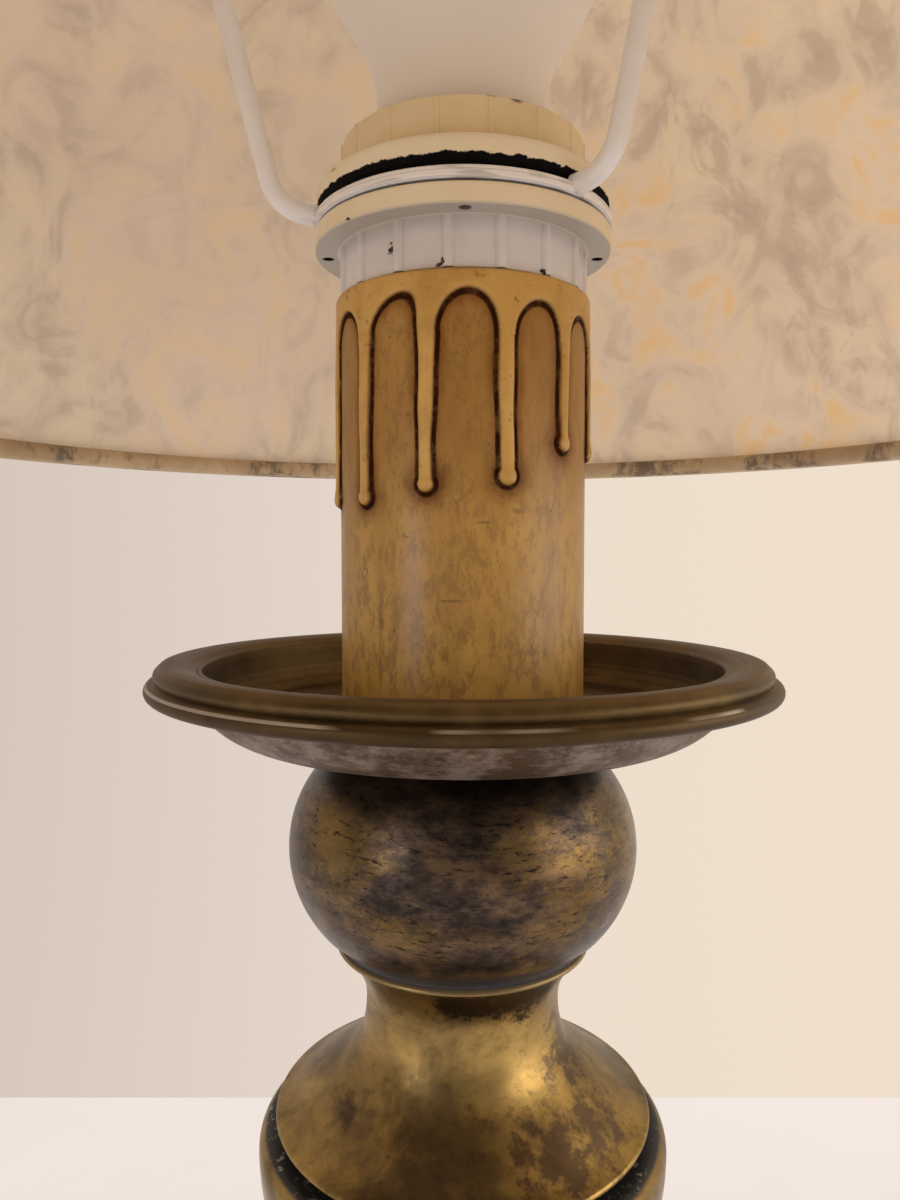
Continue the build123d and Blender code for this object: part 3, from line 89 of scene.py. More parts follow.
class Wiring:
    """Short ways to add and join shader nodes in one tree."""

    def __init__(self, tree, coords):
        self.tree = tree
        self.coords = self.add("ShaderNodeTexCoord").outputs[coords]

    def add(self, kind, **wires):
        """A node; each named input gets a value or another node's output."""
        made = self.tree.nodes.new(kind)
        for key, value in wires.items():
            self.wire(made.inputs[key.replace("_", " ")], value)
        return made

    def wire(self, socket, value):
        """Gives a socket another node's output, a colour of the paint chart or a value."""
        if isinstance(value, bpy.types.NodeSocket):
            self.tree.links.new(value, socket)
        else:
            socket.default_value = rgb(value) if isinstance(value, str) else value

    def stretched(self, stretch):
        """The coordinates, multiplied along X, Y and Z."""
        return self.add("ShaderNodeMapping", Vector=self.coords, Scale=stretch).outputs["Vector"]

    def noise(self, scale, detail=4.0, rough=0.55, stretch=(1, 1, 1), distortion=0.0):
        """A cloudy pattern; a large stretch along an axis makes it short along that axis."""
        made = self.add("ShaderNodeTexNoise", Vector=self.stretched(stretch), Scale=scale, Detail=detail,
                        Roughness=rough, Distortion=distortion)
        return made.outputs["Fac"]

    def axis(self, letter):
        """Distance along one axis of the lamp, in metres."""
        return self.add("ShaderNodeSeparateXYZ", Vector=self.coords).outputs[letter]

    def distance(self, vector, centre=(0, 0, 0)):
        """How far a vector ends from a place."""
        made = self.tree.nodes.new("ShaderNodeVectorMath")
        made.operation = "DISTANCE"
        self.wire(made.inputs[0], vector)
        self.wire(made.inputs[1], centre)
        return made.outputs["Value"]

    def radius(self):
        """Distance from the lamp's axis, in metres."""
        return self.distance(self.stretched((1, 1, 0)))

    def range(self, value, low, high, to_low=0.0, to_high=1.0):
        """Maps low..high to to_low..to_high, and holds the ends."""
        made = self.add("ShaderNodeMapRange", Value=value, From_Min=low, From_Max=high, To_Min=to_low,
                        To_Max=to_high)
        return made.outputs["Result"]

    def swing(self, grain, low, high):
        """Spreads a noise over low..high."""
        return self.range(grain, NOISE_LOW, NOISE_HIGH, low, high)

    def math(self, kind, a, b=0.0):
        """Joins two numbers, such as by ADD or MULTIPLY."""
        made = self.tree.nodes.new("ShaderNodeMath")
        made.operation = kind
        self.wire(made.inputs[0], a)
        self.wire(made.inputs[1], b)
        return made.outputs["Value"]

    def both(self, first, *others):
        """1 only where every mask is 1."""
        for other in others:
            first = self.math("MULTIPLY", first, other)
        return first

    def either(self, first, *others):
        """1 where any of the masks is 1."""
        for other in others:
            first = self.math("MAXIMUM", first, other)
        return first

    def part(self, mask, share):
        """A mask at less than its full strength."""
        return self.math("MULTIPLY", mask, share)

    def between(self, value, low, high, soft):
        """A mask for a span of a value, with soft ends."""
        return self.both(self.range(value, low - soft, low), self.range(value, high + soft, high))

    def spot(self, place_mm, size_mm, stretch=(1, 1, 1), ragged=0.0, grain=None, core=0.3, strength=1.0):
        """A mask round one place on the lamp; a grain can make its edge ragged."""
        centre = [p * s / MM_PER_M for p, s in zip(place_mm, stretch)]
        gone = self.distance(self.stretched(stretch), centre)
        if grain is not None:
            gone = self.math("ADD", gone, self.swing(grain, -ragged / MM_PER_M, ragged / MM_PER_M))
        return self.part(self.range(gone, size_mm / MM_PER_M, size_mm * core / MM_PER_M), strength)

    def over(self, under, colour, mask, share=1.0):
        """Lays a colour over another where the mask is 1, at a share of its strength."""
        made = self.tree.nodes.new("ShaderNodeMix")
        made.data_type = "RGBA"
        self.wire(made.inputs[MIX_SHARE], self.part(mask, share))
        self.wire(made.inputs[MIX_FIRST], under)
        self.wire(made.inputs[MIX_SECOND], colour)
        return made.outputs[MIX_RESULT]

    def ramp(self, value, *stops):
        """Colours at places along a value."""
        made = self.add("ShaderNodeValToRGB", Fac=value)
        band = made.color_ramp.elements
        while len(band) < len(stops):
            band.new(0.5)
        for element, (place, colour) in zip(band, stops):
            element.position = place
            element.color = rgb(colour)
        return made.outputs["Color"]

    def tones(self, value, first, second, low=NOISE_LOW, high=NOISE_HIGH):
        """Two colours, blended along a noise."""
        return self.ramp(value, (low, first), (high, second))

    def end_in(self, output, share, first, second):
        """Ends the tree in a blend of two shaders."""
        blend = self.add("ShaderNodeMixShader", Fac=share)
        self.wire(blend.inputs[1], first.outputs[0])
        self.wire(blend.inputs[2], second.outputs[0])
        self.wire(self.tree.nodes[output].inputs["Surface"], blend.outputs[0])


class Finish(Wiring):
    """One procedural material."""

    def __init__(self, name, rough=0.5, metal=0.0):
        self.mat = bpy.data.materials.new(name)
        self.mat.use_nodes = True
        super().__init__(self.mat.node_tree, "Object")
        self.shader = self.tree.nodes["Principled BSDF"]
        self.shader.inputs["Roughness"].default_value = rough
        self.shader.inputs["Metallic"].default_value = metal

    def attribute(self, name):
        """A number that the mesh carries on its points."""
        made = self.add("ShaderNodeAttribute")
        made.attribute_name = name
        return made.outputs["Fac"]

    def bump(self, height, strength=0.3, depth=0.0002, under=None):
        """A fine relief, in metres deep; under is a relief that it lies on."""
        made = self.add("ShaderNodeBump", Height=height, Strength=strength, Distance=depth)
        if under is not None:
            self.wire(made.inputs["Normal"], under)
        return made.outputs["Normal"]

    def show(self, colour=None, rough=None, normal=None, metal=None, gloss=None):
        """Wires what is given into the shader."""
        given = {"Base Color": colour, "Roughness": rough, "Normal": normal, "Metallic": metal,
                 "Specular IOR Level": gloss}
        for key, value in given.items():
            if value is not None:
                self.wire(self.shader.inputs[key], value)

    def on(self, *pieces):
        """Puts the finish on pieces, by name or as objects."""
        for piece in pieces:
            shown = nodes[piece] if isinstance(piece, str) else piece
            shown.data.materials.clear()
            shown.data.materials.append(self.mat)
        print(self.mat.name, "on", len(pieces), "piece(s)")


print("middle grey of the paint chart as light:", [round(c, 3) for c in rgb("808080")])

# %% [markdown]
# ## Aged brass
# The vase and the bell are lathe-turned brass that was polished once and handled since. Brass
# darkens to brown in blotches, and dirt stays black in the grooves that a cloth doesn't reach.
# Here a large soft noise clouds the gold, a finer one mottles it, and spots place the blotches
# that the real bell has: small ones at the left of its flare, wide ones at the right and in front,
# and black tarnish under the collar. A brown film lies over all that is above the vase's shoulder.
# The neck is also painted darker towards the collar, a painted shade, and the cove over the
# collar's bead is painted near black, a painted shade in that hollow.

# %% Brass: gold, cloud and mottle
brass = Finish("brass_aged")
cloud = brass.noise(38, detail=6, rough=0.62, stretch=(1, 1, 1.5), distortion=0.4)
gold = brass.tones(brass.noise(24, detail=3), "A58546", "C6A666")
aged_and_shaded = brass.over(gold, "88703F", brass.range(cloud, 0.50, 0.66), 0.45)
mottled = brass.range(brass.noise(200, detail=7, rough=0.8, stretch=(1, 1, 1.6)), 0.50, 0.62)
aged_and_shaded = brass.over(aged_and_shaded, "5B4426", mottled, 0.38)
print("nodes for the gold:", len(brass.tree.nodes))

# %% Brass: blotches and tarnish
fleck = brass.noise(300, detail=4, rough=0.75)
patches = brass.either(
    brass.spot((-19.8, -15.7, 187.0), 3.6, ragged=2.2, grain=fleck),
    brass.spot((-17.6, -20.2, 184.5), 7.0, ragged=5.0, grain=fleck, strength=0.5),
    brass.spot((21.5, -16.5, 185.5), 8.0, ragged=7.0, grain=fleck),
    brass.spot((14.4, -23.0, 184.0), 8.5, ragged=8.0, grain=fleck),
    brass.spot((18.5, -8.0, 193.0), 6.5, ragged=7.0, grain=fleck),
    brass.spot((-6.0, -26.5, 184.0), 9.0, ragged=9.0, grain=fleck, strength=0.55))
aged_and_shaded = brass.over(aged_and_shaded, "5F4D40", patches, 0.85)
tarnish = brass.either(
    brass.spot((1.0, -19.0, 207.4), 6.5, stretch=(1, 1, 1.7), ragged=3.5, grain=fleck, core=0.65),
    brass.spot((9.5, -17.0, 207.8), 8.5, stretch=(1, 1, 1.6), ragged=4.5, grain=fleck, core=0.65),
    brass.part(brass.range(brass.noise(150, detail=5, rough=0.75), 0.60, 0.70), 0.55))
aged_and_shaded = brass.over(aged_and_shaded, "1A1410", tarnish, 0.94)
print("nodes with the blotches:", len(brass.tree.nodes))

# %% Brass: neck, film and collar
GROOVE_LOW, GROOVE_HIGH = 0.1775, 0.1802
BEAD_LOW, BEAD_HIGH, COLLAR_HIGH = 0.2100, 0.2109, 0.2143
FILM_FROM, FILM_FULL = GROOVE_LOW - 0.014, GROOVE_LOW - 0.004
NECK_SHADE_FROM, NECK_SHADE_FULL = 0.2035, 0.2095
COLLAR_SOFT, BEAD_SOFT = 0.0003, 0.0002
height = brass.axis("Z")
# The neck is painted darker towards the collar: a painted shade.
aged_and_shaded = brass.over(aged_and_shaded, "6B5230", brass.range(height, NECK_SHADE_FROM, NECK_SHADE_FULL), 0.35)
film = brass.range(height, FILM_FROM, FILM_FULL)
aged_and_shaded = brass.over(aged_and_shaded, "3D3226", brass.both(film, brass.range(cloud, 0.30, 0.55)), 0.75)
# Painted shade: the cove over the collar's bead is painted near black, in a bluish grey.
collar = brass.between(height, BEAD_HIGH, COLLAR_HIGH, COLLAR_SOFT)
aged_and_shaded = brass.over(aged_and_shaded, "2B292F", collar, 0.96)
aged_and_shaded = brass.over(aged_and_shaded, "8F7A56", brass.between(height, BEAD_LOW, BEAD_HIGH, BEAD_SOFT), 0.75)
print("collar", round((COLLAR_HIGH - BEAD_HIGH) * MM_PER_M, 1), "mm high")

# %% [markdown]
# The groove between the vase and the bell holds blackish dirt with pale dust in it. Dirt doesn't
# shine as metal does, so there the shader turns from metal to a dull surface.

# %% Brass: groove and shader
DIRT_IN_LOW, DIRT_IN_HIGH, DIRT_SOFT = 0.0003, 0.0004, 0.0004
in_groove = brass.between(height, GROOVE_LOW + DIRT_IN_LOW, GROOVE_HIGH - DIRT_IN_HIGH, DIRT_SOFT)
dust = brass.both(brass.range(brass.noise(700, detail=3, rough=0.8), 0.58, 0.66),
                  brass.range(brass.noise(45, detail=2), 0.40, 0.52))
dirt = brass.over("14110F", "A8A296", dust, 0.8)
dull = brass.either(brass.part(patches, 0.5), brass.part(tarnish, 0.3), brass.part(film, 0.6), in_groove)
brass.show(colour=brass.over(aged_and_shaded, dirt, in_groove),
           rough=brass.math("ADD", brass.range(cloud, 0.4, 0.65, 0.13, 0.22), brass.part(dull, 0.35)),
           metal=brass.range(brass.either(in_groove, brass.part(collar, 0.75)), 0, 1, 1.0, 0.1),
           normal=brass.bump(brass.noise(300, detail=5, stretch=(1, 1, 4)), strength=0.04))
brass.on("vase", "bell")

# %% [markdown]
# ## Brass of the foot
# The foot and the knop above it are the same metal, out of the photograph's view. They get the
# same gold with less tarnish: soft brown blotches and small dark specks.

# %% Foot and knop
foot_brass = Finish("brass_foot", metal=1.0)
foot_blotch = foot_brass.range(foot_brass.noise(30, detail=6, rough=0.6, distortion=0.5), 0.48, 0.68)
foot_gold = foot_brass.tones(foot_brass.noise(20, detail=2), "A07B38", "BE964C")
foot_aged = foot_brass.over(foot_gold, "65472A", foot_blotch, 0.6)
foot_specks = foot_brass.range(foot_brass.noise(380, detail=3, rough=0.7), 0.57, 0.73)
foot_brass.show(colour=foot_brass.over(foot_aged, "33241A", foot_specks, 0.5),
                rough=foot_brass.range(foot_blotch, 0, 1, 0.24, 0.45),
                normal=foot_brass.bump(foot_brass.noise(300, detail=5, stretch=(1, 1, 4)), strength=0.10))
foot_brass.on("foot", "lower_knop")

# %% [markdown]
# ## The tarnished ball
# The ball under the pan was never polished again. It is nearly black at the top, right under the
# pan. Lower down it is a dark brown that hands have rubbed back to a dull gold in a few places, and
# short dark scratches run round the ball, so the fine grain is squeezed along Z.

# %% Ball: where it is rubbed
ball = Finish("brass_tarnished")
drift = ball.noise(70, detail=8, rough=0.7, stretch=(1, 1, 1.8), distortion=0.25)
rubbed = ball.either(
    ball.spot((-21.0, -20.5, 236.0), 13.0, ragged=5.0, grain=drift, core=0.2),
    ball.spot((-12.0, -27.0, 221.5), 13.0, stretch=(0.7, 0.7, 2.4), ragged=8.0, grain=drift, strength=0.6),
    ball.spot((8.5, -28.2, 236.0), 7.0, ragged=7.0, grain=drift, strength=0.6),
    ball.spot((18.0, -24.0, 226.0), 11.0, ragged=9.0, grain=drift, strength=0.85),
    ball.spot((26.0, -13.0, 233.0), 12.0, ragged=7.0, grain=drift, strength=0.8),
    ball.part(ball.range(drift, 0.58, 0.70), 0.4))
speck = ball.range(ball.noise(380, detail=7, rough=0.85, stretch=(0.8, 0.8, 1.7)), 0.44, 0.56, 0.25, 1.0)
unbroken = ball.spot((-21.0, -20.5, 235.5), 10.0, core=0.5, strength=0.85)
rubbed = ball.both(rubbed, ball.either(speck, unbroken))
print("nodes for the rubbed places:", len(ball.tree.nodes))

# %% Ball: tarnish, scratches and shader
BLACK_FROM, BLACK_FULL, BLACK_WANDER = 0.2375, 0.2455, 0.003
skin = ball.ramp(ball.noise(120, detail=6, rough=0.75, stretch=(1, 1, 2)),
                 (0.38, "231C19"), (0.50, "46382F"), (0.62, "6B563F"))
ball_gold = ball.tones(ball.noise(60, detail=4), "80642F", "9C7E45", low=0.35, high=0.65)
ball_colour = ball.over(skin, ball_gold, rubbed, 0.72)
uneven_height = ball.math("ADD", ball.axis("Z"), ball.swing(drift, -BLACK_WANDER, BLACK_WANDER))
# Nearly black towards the top, right under the pan.
ball_colour = ball.over(ball_colour, "17120F", ball.range(uneven_height, BLACK_FROM, BLACK_FULL), 0.93)
scratch = ball.range(ball.noise(620, detail=5, rough=0.8, stretch=(0.55, 0.55, 2.0)), 0.565, 0.61)
ball_colour = ball.over(ball_colour, "100C0B", scratch, 0.88)
ball.show(colour=ball_colour, rough=ball.range(rubbed, 0, 1, 0.34, 0.25),
          normal=ball.bump(ball.noise(420, detail=6, stretch=(1, 1, 1.6)), strength=0.14),
          metal=ball.range(rubbed, 0, 1, 0.75, 1.0))
ball.on("ball_knob")

# %% [markdown]
# ## The bronze drip pan
# The pan is turned bronze with a dark brown satin patina. The lathe left fine rings, which run
# round the axis, so their pattern reads the distance from the axis. Hands that lift the lamp have
# worn the curved underside to a greyish pink; a mask of height and radius keeps that off the
# inside of the pan. The lip is darker, and one thin bright line on its rim is a painted highlight.

# %% Pan: patina and lathe rings
pan = Finish("bronze_pan")
pan_z, pan_r = pan.axis("Z"), pan.radius()
round_axis = pan.add("ShaderNodeCombineXYZ", X=pan_r, Y=pan_z, Z=0.0).outputs[0]
ring_noise = pan.add("ShaderNodeTexNoise", Vector=round_axis, Scale=900.0, Detail=3.0, Roughness=0.6)
rings = ring_noise.outputs["Fac"]
mottle = pan.noise(70, detail=7, rough=0.62, distortion=0.3)
patina_and_highlight = pan.ramp(mottle, (0.30, "3E3220"), (0.50, "554429"), (0.72, "6F5B3A"))
patina_and_highlight = pan.over(patina_and_highlight, "94784E", pan.range(rings, 0.45, 0.7), 0.25)
print("nodes for the patina:", len(pan.tree.nodes))

# %% Pan: wear and shader
WALL_FOOT, UNDER_TOP = 0.2520, 0.2562  # heights between which the bowl's wall leans outwards
WALL_FOOT_R, WALL_TOP_R = 0.0429, 0.0466  # and its radii there
FLOOR_LEVEL, LIP_Z, LIP_LINE_TOP = 0.2518, 0.2585, 0.2588
LIP_R, RIM_R = 0.0465, 0.0535
outside = pan.math("SUBTRACT", pan_r, pan.range(pan_z, WALL_FOOT, UNDER_TOP, WALL_FOOT_R, WALL_TOP_R))
under = pan.both(pan.range(pan_z, UNDER_TOP + 0.0008, UNDER_TOP - 0.0015),
                 pan.either(pan.range(pan_z, FLOOR_LEVEL + 0.0002, FLOOR_LEVEL - 0.0002),
                            pan.range(outside, 0.0, 0.0003)))
worn = pan.range(pan.noise(150, detail=6, rough=0.8, stretch=(0.7, 0.7, 1.4)), 0.45, 0.60)
patina_and_highlight = pan.over(patina_and_highlight, "4F423C", under, 0.6)
patina_and_highlight = pan.over(patina_and_highlight, "94867C", pan.both(under, worn), 0.58)
on_lip = pan.both(pan.range(pan_z, LIP_Z + 0.0005, LIP_Z), pan.range(pan_r, LIP_R, LIP_R + 0.001),
                  pan.range(under, 1.0, 0.0))
patina_and_highlight = pan.over(patina_and_highlight, "33261A", on_lip, 0.45)
# A painted highlight: one thin bright line along the rim.
painted_highlight = pan.both(pan.between(pan_z, LIP_Z, LIP_LINE_TOP, 0.0001), pan.range(pan_r, RIM_R, RIM_R + 0.0005),
                    pan.range(pan.noise(35, detail=2), 0.48, 0.55))
patina_and_highlight = pan.over(patina_and_highlight, "B9AFA2", painted_highlight, 0.8)
pan.show(colour=patina_and_highlight, rough=pan.swing(mottle, 0.42, 0.58),
         metal=pan.range(pan.both(under, worn), 0, 1, 0.92, 0.5),
         normal=pan.bump(rings, strength=0.25, depth=0.0001, under=pan.bump(mottle, strength=0.12)))
pan.on("drip_pan")

# %% [markdown]
# ## The imitation candle
# A lathe can't make this piece: melted wax has run down the tube in eleven drips, with rounded
# arches between them and a bead at the end of each. The mesh starts as the tube's outline, spun
# about the axis in fine steps. Then each point of the outer wall asks how far it lies inside the
# edge of the wax, and moves outwards by a rounded step. The same distance is kept on the mesh as an
# attribute, so that the finish can put dark stain along that edge.

# %% How the wax has run
CANDLE_TOP, CANDLE_FOOT = 0.3235, 0.2520
CANDLE_R, BORE_R = 0.0215, 0.0202
MM_PER_DEGREE = CANDLE_R * MM_PER_M * pi / 180
# Each drip: degrees from the camera side towards +X, its end below the top, half its width at the
# root and low down, and its bead's radius. Then, of the arch that follows it, the lean and how far
# its crown lies below the top. Lengths are in millimetres, and the lean is a share of the width.
Drip = namedtuple("Drip", "turn end root low bead lean crown")
DRIPS = [Drip(*numbers) for numbers in (
    (-80.0, 35.8, 1.45, 1.15, 1.45, 0.10, 3.9),
    (-47.0, 35.9, 1.50, 1.15, 1.50, 0.42, 3.3),
    (-16.0, 34.2, 1.55, 1.10, 1.42, 0.05, 3.2),
    (17.5, 33.1, 1.50, 1.22, 1.60, 0.06, 4.2),
    (47.7, 27.3, 1.35, 1.10, 1.45, -0.20, 4.6),
    (81.8, 27.8, 1.45, 1.20, 1.50, 0.15, 3.6),
    (114.0, 34.0, 1.50, 1.15, 1.50, -0.15, 3.4),
    (147.0, 30.0, 1.40, 1.10, 1.45, 0.20, 4.0),
    (180.0, 36.5, 1.55, 1.20, 1.55, 0.0, 3.3),
    (213.0, 28.5, 1.40, 1.15, 1.45, -0.25, 3.8),
    (247.0, 33.0, 1.50, 1.15, 1.50, 0.12, 3.5))]
ROOT_DROP, NARROW_BEFORE_END = 8, 4
WAVE, WAVE_RATE = 0.07, 0.55
SWAY, SWAY_RATE, SWAY_FULL_DROP = 0.16, 0.19, 20
ARCH_RISE = 1.30  # an arch's height over half its width
FAR_OFF = 99


def half_width(drip, drop):
    """Half the width of a drip at a distance below the candle's top, a little wavy."""
    run = min(max((drop - ROOT_DROP) / (drip.end - (ROOT_DROP + NARROW_BEFORE_END)), 0), 1)
    return drip.root + (drip.low - drip.root) * run + WAVE * sin(drop * WAVE_RATE + drip.turn)


def inside_drip(drip, side, drop):
    """How far a point lies inside a drip's edge, and from the middle of its bead."""
    side += SWAY * sin(drop * SWAY_RATE + drip.turn) * min(drop / SWAY_FULL_DROP, 1)
    away = hypot(side, drop - (drip.end - drip.bead))
    body = half_width(drip, drop) - abs(side) if drop < drip.end - drip.bead else -FAR_OFF
    return max(body, drip.bead - away), away


def inside_wax(turn, drop):
    """The same for a point anywhere on the wall: the wax is the drips and the band with its arches."""
    inside, away = -FAR_OFF, FAR_OFF
    for drip, following in zip(DRIPS, DRIPS[1:] + DRIPS[:1]):
        gap = ((following.turn - drip.turn) % 360) * MM_PER_DEGREE
        along = ((turn - drip.turn) % 360) * MM_PER_DEGREE
        if along > gap:
            continue
        left, right = half_width(drip, ROOT_DROP), gap - half_width(following, ROOT_DROP)
        half, middle = (right - left) / 2, (right + left) / 2
        rise = half * ARCH_RISE
        spring = drip.crown + rise
        near, near_bead = inside_drip(drip, along, drop)
        far, far_bead = inside_drip(following, along - gap, drop)
        inside, away = max(near, far), min(near_bead, far_bead)
        if drop < spring:
            up = (spring - drop) / rise
            across = (along - middle - drip.lean * half * up * up) / half
            inside = (hypot(across, up) - 1) * half
    return inside, away


in_front_arch = inside_wax(turn=0, drop=12)[0]
print(len(DRIPS), "drips; the front arch's middle lies", round(-in_front_arch, 2), "mm outside the wax")

# %% [markdown]
# The outline is seven corners, three of which round the top's outer edge. Its outer side is divided
# finely only where the drips are, since the plain tube below them needs few rows.

# %% Candle mesh
FINE_FROM = 0.2835
PLAIN_CUTS, FINE_CUTS, TURN_STEPS = 11, 129, 440
ROUNDED_TOP = ((0.0, 0.0005), (0.0002, 0.00012), (0.0006, 0.0))  # inwards and down from the sharp corner
bm = bmesh.new()
corners = [(BORE_R, CANDLE_FOOT), (CANDLE_R, CANDLE_FOOT), (CANDLE_R, FINE_FROM)]
corners += [(CANDLE_R - inwards, CANDLE_TOP - down) for inwards, down in ROUNDED_TOP]
corners.append((BORE_R, CANDLE_TOP))
loop = [bm.verts.new((r, 0, z)) for r, z in corners]
sides = [bm.edges.new((a, b)) for a, b in zip(loop, loop[1:] + loop[:1])]
for side, cuts in ((sides[1], PLAIN_CUTS), (sides[2], FINE_CUTS)):
    bmesh.ops.subdivide_edges(bm, edges=[side], cuts=cuts)
bmesh.ops.spin(bm, geom=bm.verts[:] + bm.edges[:], cent=(0, 0, 0), axis=(0, 0, 1), angle=2 * pi,
               steps=TURN_STEPS, use_merge=True)
bmesh.ops.recalc_face_normals(bm, faces=bm.faces)
print("spun", len(bm.verts), "points,", len(bm.faces), "faces")

# %% [markdown]
# The wax stands proud by a rounded step, thicker low down and most at the beads, with a slight
# unevenness. A shallow furrow follows its edge, and it is there that stain gathers.

# %% Push the wax out
BAND_PROUD, DRIP_PROUD, BEAD_PROUD = 0.60, 0.30, 0.28
THICK_FROM_DROP, BEAD_SPREAD, ROUND_OVER = 14, 1.7, 1.15
FURROW, FURROW_OUTSIDE, FURROW_INSIDE = 0.10, 0.40, 0.12
UNEVEN, UNEVEN_SCALE = 0.05, 220
WALL_SLACK = 0.00025  # points further in than this aren't on the outer wall
EDGE_LEAST, EDGE_MOST, EDGE_OFF_WALL, BEAD_MOST = -6.0, 3.0, 2.0, 20.0
edge_layer = bm.verts.layers.float.new("wax_edge")
bead_layer = bm.verts.layers.float.new("bead_near")
for vert in bm.verts:
    radius = hypot(vert.co.x, vert.co.y)
    if radius < CANDLE_R - WALL_SLACK:
        vert[edge_layer] = EDGE_OFF_WALL
        vert[bead_layer] = BEAD_MOST
        continue
    drop = (CANDLE_TOP - vert.co.z) * MM_PER_M
    inside, away = inside_wax(degrees(atan2(vert.co.x, -vert.co.y)), drop)
    furrow_width = FURROW_OUTSIDE if inside < 0 else FURROW_INSIDE
    push = -FURROW * exp(-(inside / furrow_width) ** 2)
    if inside > 0:
        proud = BAND_PROUD + DRIP_PROUD * min(drop / THICK_FROM_DROP, 1)
        proud += BEAD_PROUD * exp(-(away / BEAD_SPREAD) ** 2)
        proud += UNEVEN * noise.noise(vert.co * UNEVEN_SCALE)
        share = 1 - min(inside / ROUND_OVER, 1)
        push += proud * sqrt(1 - share * share)
    vert.co.xy *= 1 + push / (radius * MM_PER_M)
    vert[edge_layer] = max(min(inside, EDGE_MOST), EDGE_LEAST)
    vert[bead_layer] = min(away, BEAD_MOST)

# %% Smooth the wax and keep the plain corners sharp
INNER_R, FOOT_ROWS, SHARP_ANGLE = CANDLE_R - 0.0005, CANDLE_FOOT + 0.0001, 1.0
for face in bm.faces:
    face.smooth = True
for edge in bm.edges:
    plain_ends = [hypot(v.co.x, v.co.y) < INNER_R or v.co.z < FOOT_ROWS for v in edge.verts]
    edge.smooth = not (all(plain_ends) and edge.calc_face_angle(0.0) > SHARP_ANGLE)
candle_mesh = bpy.data.meshes.new("candle")
bm.to_mesh(candle_mesh)
bm.free()
candle = bpy.data.objects.new("candle", candle_mesh)
bpy.context.scene.collection.objects.link(candle)
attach(candle, "root")
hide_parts("candle_sleeve")
print("candle", [round(v * MM_PER_M, 1) for v in candle.dimensions], "mm")

# %% [markdown]
# The resin was cast in an old ivory and rubbed with brown stain. Stain stays darkest in the corner
# where wax meets the tube and under each bead, and thins out over a millimetre or two. The tube
# itself has fine upright streaks, a few dark specks and scratches, and one greyish streak that is a
# painted reflection of the left window. It is browner in the arches and darker at its foot, down
# inside the pan.

# %% Candle: tube
ARCHES_FROM, ARCHES_FULL = 0.284, 0.297
wax = Finish("candle_resin")
level = wax.axis("Z")
streak = wax.noise(150, detail=7, rough=0.7, stretch=(1, 1, 0.10))
grain = wax.noise(520, detail=6, rough=0.8, stretch=(1, 1, 0.45))
blotch = wax.noise(60, detail=5, rough=0.6, stretch=(1, 1, 0.5))
tube = wax.ramp(blotch, (0.30, "A07730"), (0.50, "B68A3C"), (0.72, "C8A04F"))
tube = wax.over(tube, "8A6430", wax.range(streak, 0.46, 0.64), 0.35)
rubbed_in = wax.both(wax.range(grain, 0.48, 0.58), wax.range(blotch, 0.35, 0.60, 0.35, 1.0))
tube = wax.over(tube, "6B4722", rubbed_in, 0.56)
tube = wax.over(tube, "825620", wax.range(level, ARCHES_FROM, ARCHES_FULL), 0.50)
print("nodes for the tube:", len(wax.tree.nodes))

# %% Candle: marks on the tube
# A painted reflection: a greyish streak down the tube where the left window shows.
painted_reflection_streak = wax.both(wax.spot((-8.0, -20.0, 271.5), 2.4, stretch=(1, 1, 0.13), core=0.5),
                 wax.range(streak, 0.35, 0.55, 1.0, 0.45))
tube = wax.over(tube, "A08A7C", painted_reflection_streak, 0.34)
dark_line = wax.both(wax.spot((-13.4, -16.8, 268.0), 1.1, stretch=(1, 1, 0.06), ragged=0.9, grain=blotch),
                     wax.range(blotch, 0.4, 0.6))
low_right = wax.both(wax.spot((11.0, -18.5, 264.0), 6.5, stretch=(1, 1, 0.55), ragged=4.0, grain=grain),
                     wax.range(grain, 0.42, 0.60))
tube = wax.over(tube, "5A3A1C", wax.either(dark_line, wax.part(low_right, 0.6)), 0.55)
specks = wax.range(wax.noise(480, detail=2, rough=0.6), 0.69, 0.73)
scratches = wax.either(wax.spot((3.2, -21.3, 284.8), 1.3, stretch=(0.7, 0.7, 4.0), ragged=0.5, grain=grain),
                       wax.spot((-1.9, -21.4, 272.6), 1.6, stretch=(0.6, 0.6, 6.0), ragged=0.8, grain=grain),
                       wax.spot((8.6, -19.7, 286.6), 1.0, stretch=(0.7, 0.7, 2.0), ragged=0.8, grain=grain))
tube = wax.over(tube, "553819", wax.either(scratches, wax.part(specks, 0.8)), 0.55)
print("nodes with the marks:", len(wax.tree.nodes))

# %% Candle: melted wax and stain
# The distance from the wax's edge is in millimetres, below 0 on the tube and above it on the wax.
edge = wax.attribute("wax_edge")
bead = wax.attribute("bead_near")
melted = wax.ramp(blotch, (0.30, "BA9144"), (0.50, "C69B4E"), (0.72, "D1A95F"))
pores = wax.range(wax.noise(330, detail=4, rough=0.75), 0.60, 0.66)
melted = wax.over(melted, "7B5223", pores, 0.60)
melted = wax.over(melted, "93692F", wax.range(wax.noise(110, detail=6, rough=0.7), 0.48, 0.62), 0.32)
colour = wax.over(tube, melted, wax.range(edge, -0.05, 0.10))
wide = wax.both(wax.range(edge, -2.2, -0.1), wax.range(edge, 0.5, 0.0),
                wax.range(wax.noise(110, detail=5, stretch=(1, 1, 0.5)), 0.36, 0.58, 0.20, 1.0))
colour = wax.over(colour, "6E3A0C", wide, 0.86)
halo = wax.both(wax.range(bead, 5.2, 1.2), wax.range(edge, 0.2, -0.1),
                wax.range(wax.noise(260, detail=5, rough=0.7), 0.30, 0.56, 0.3, 1.0))
colour = wax.over(colour, "55290A", halo, 0.85)
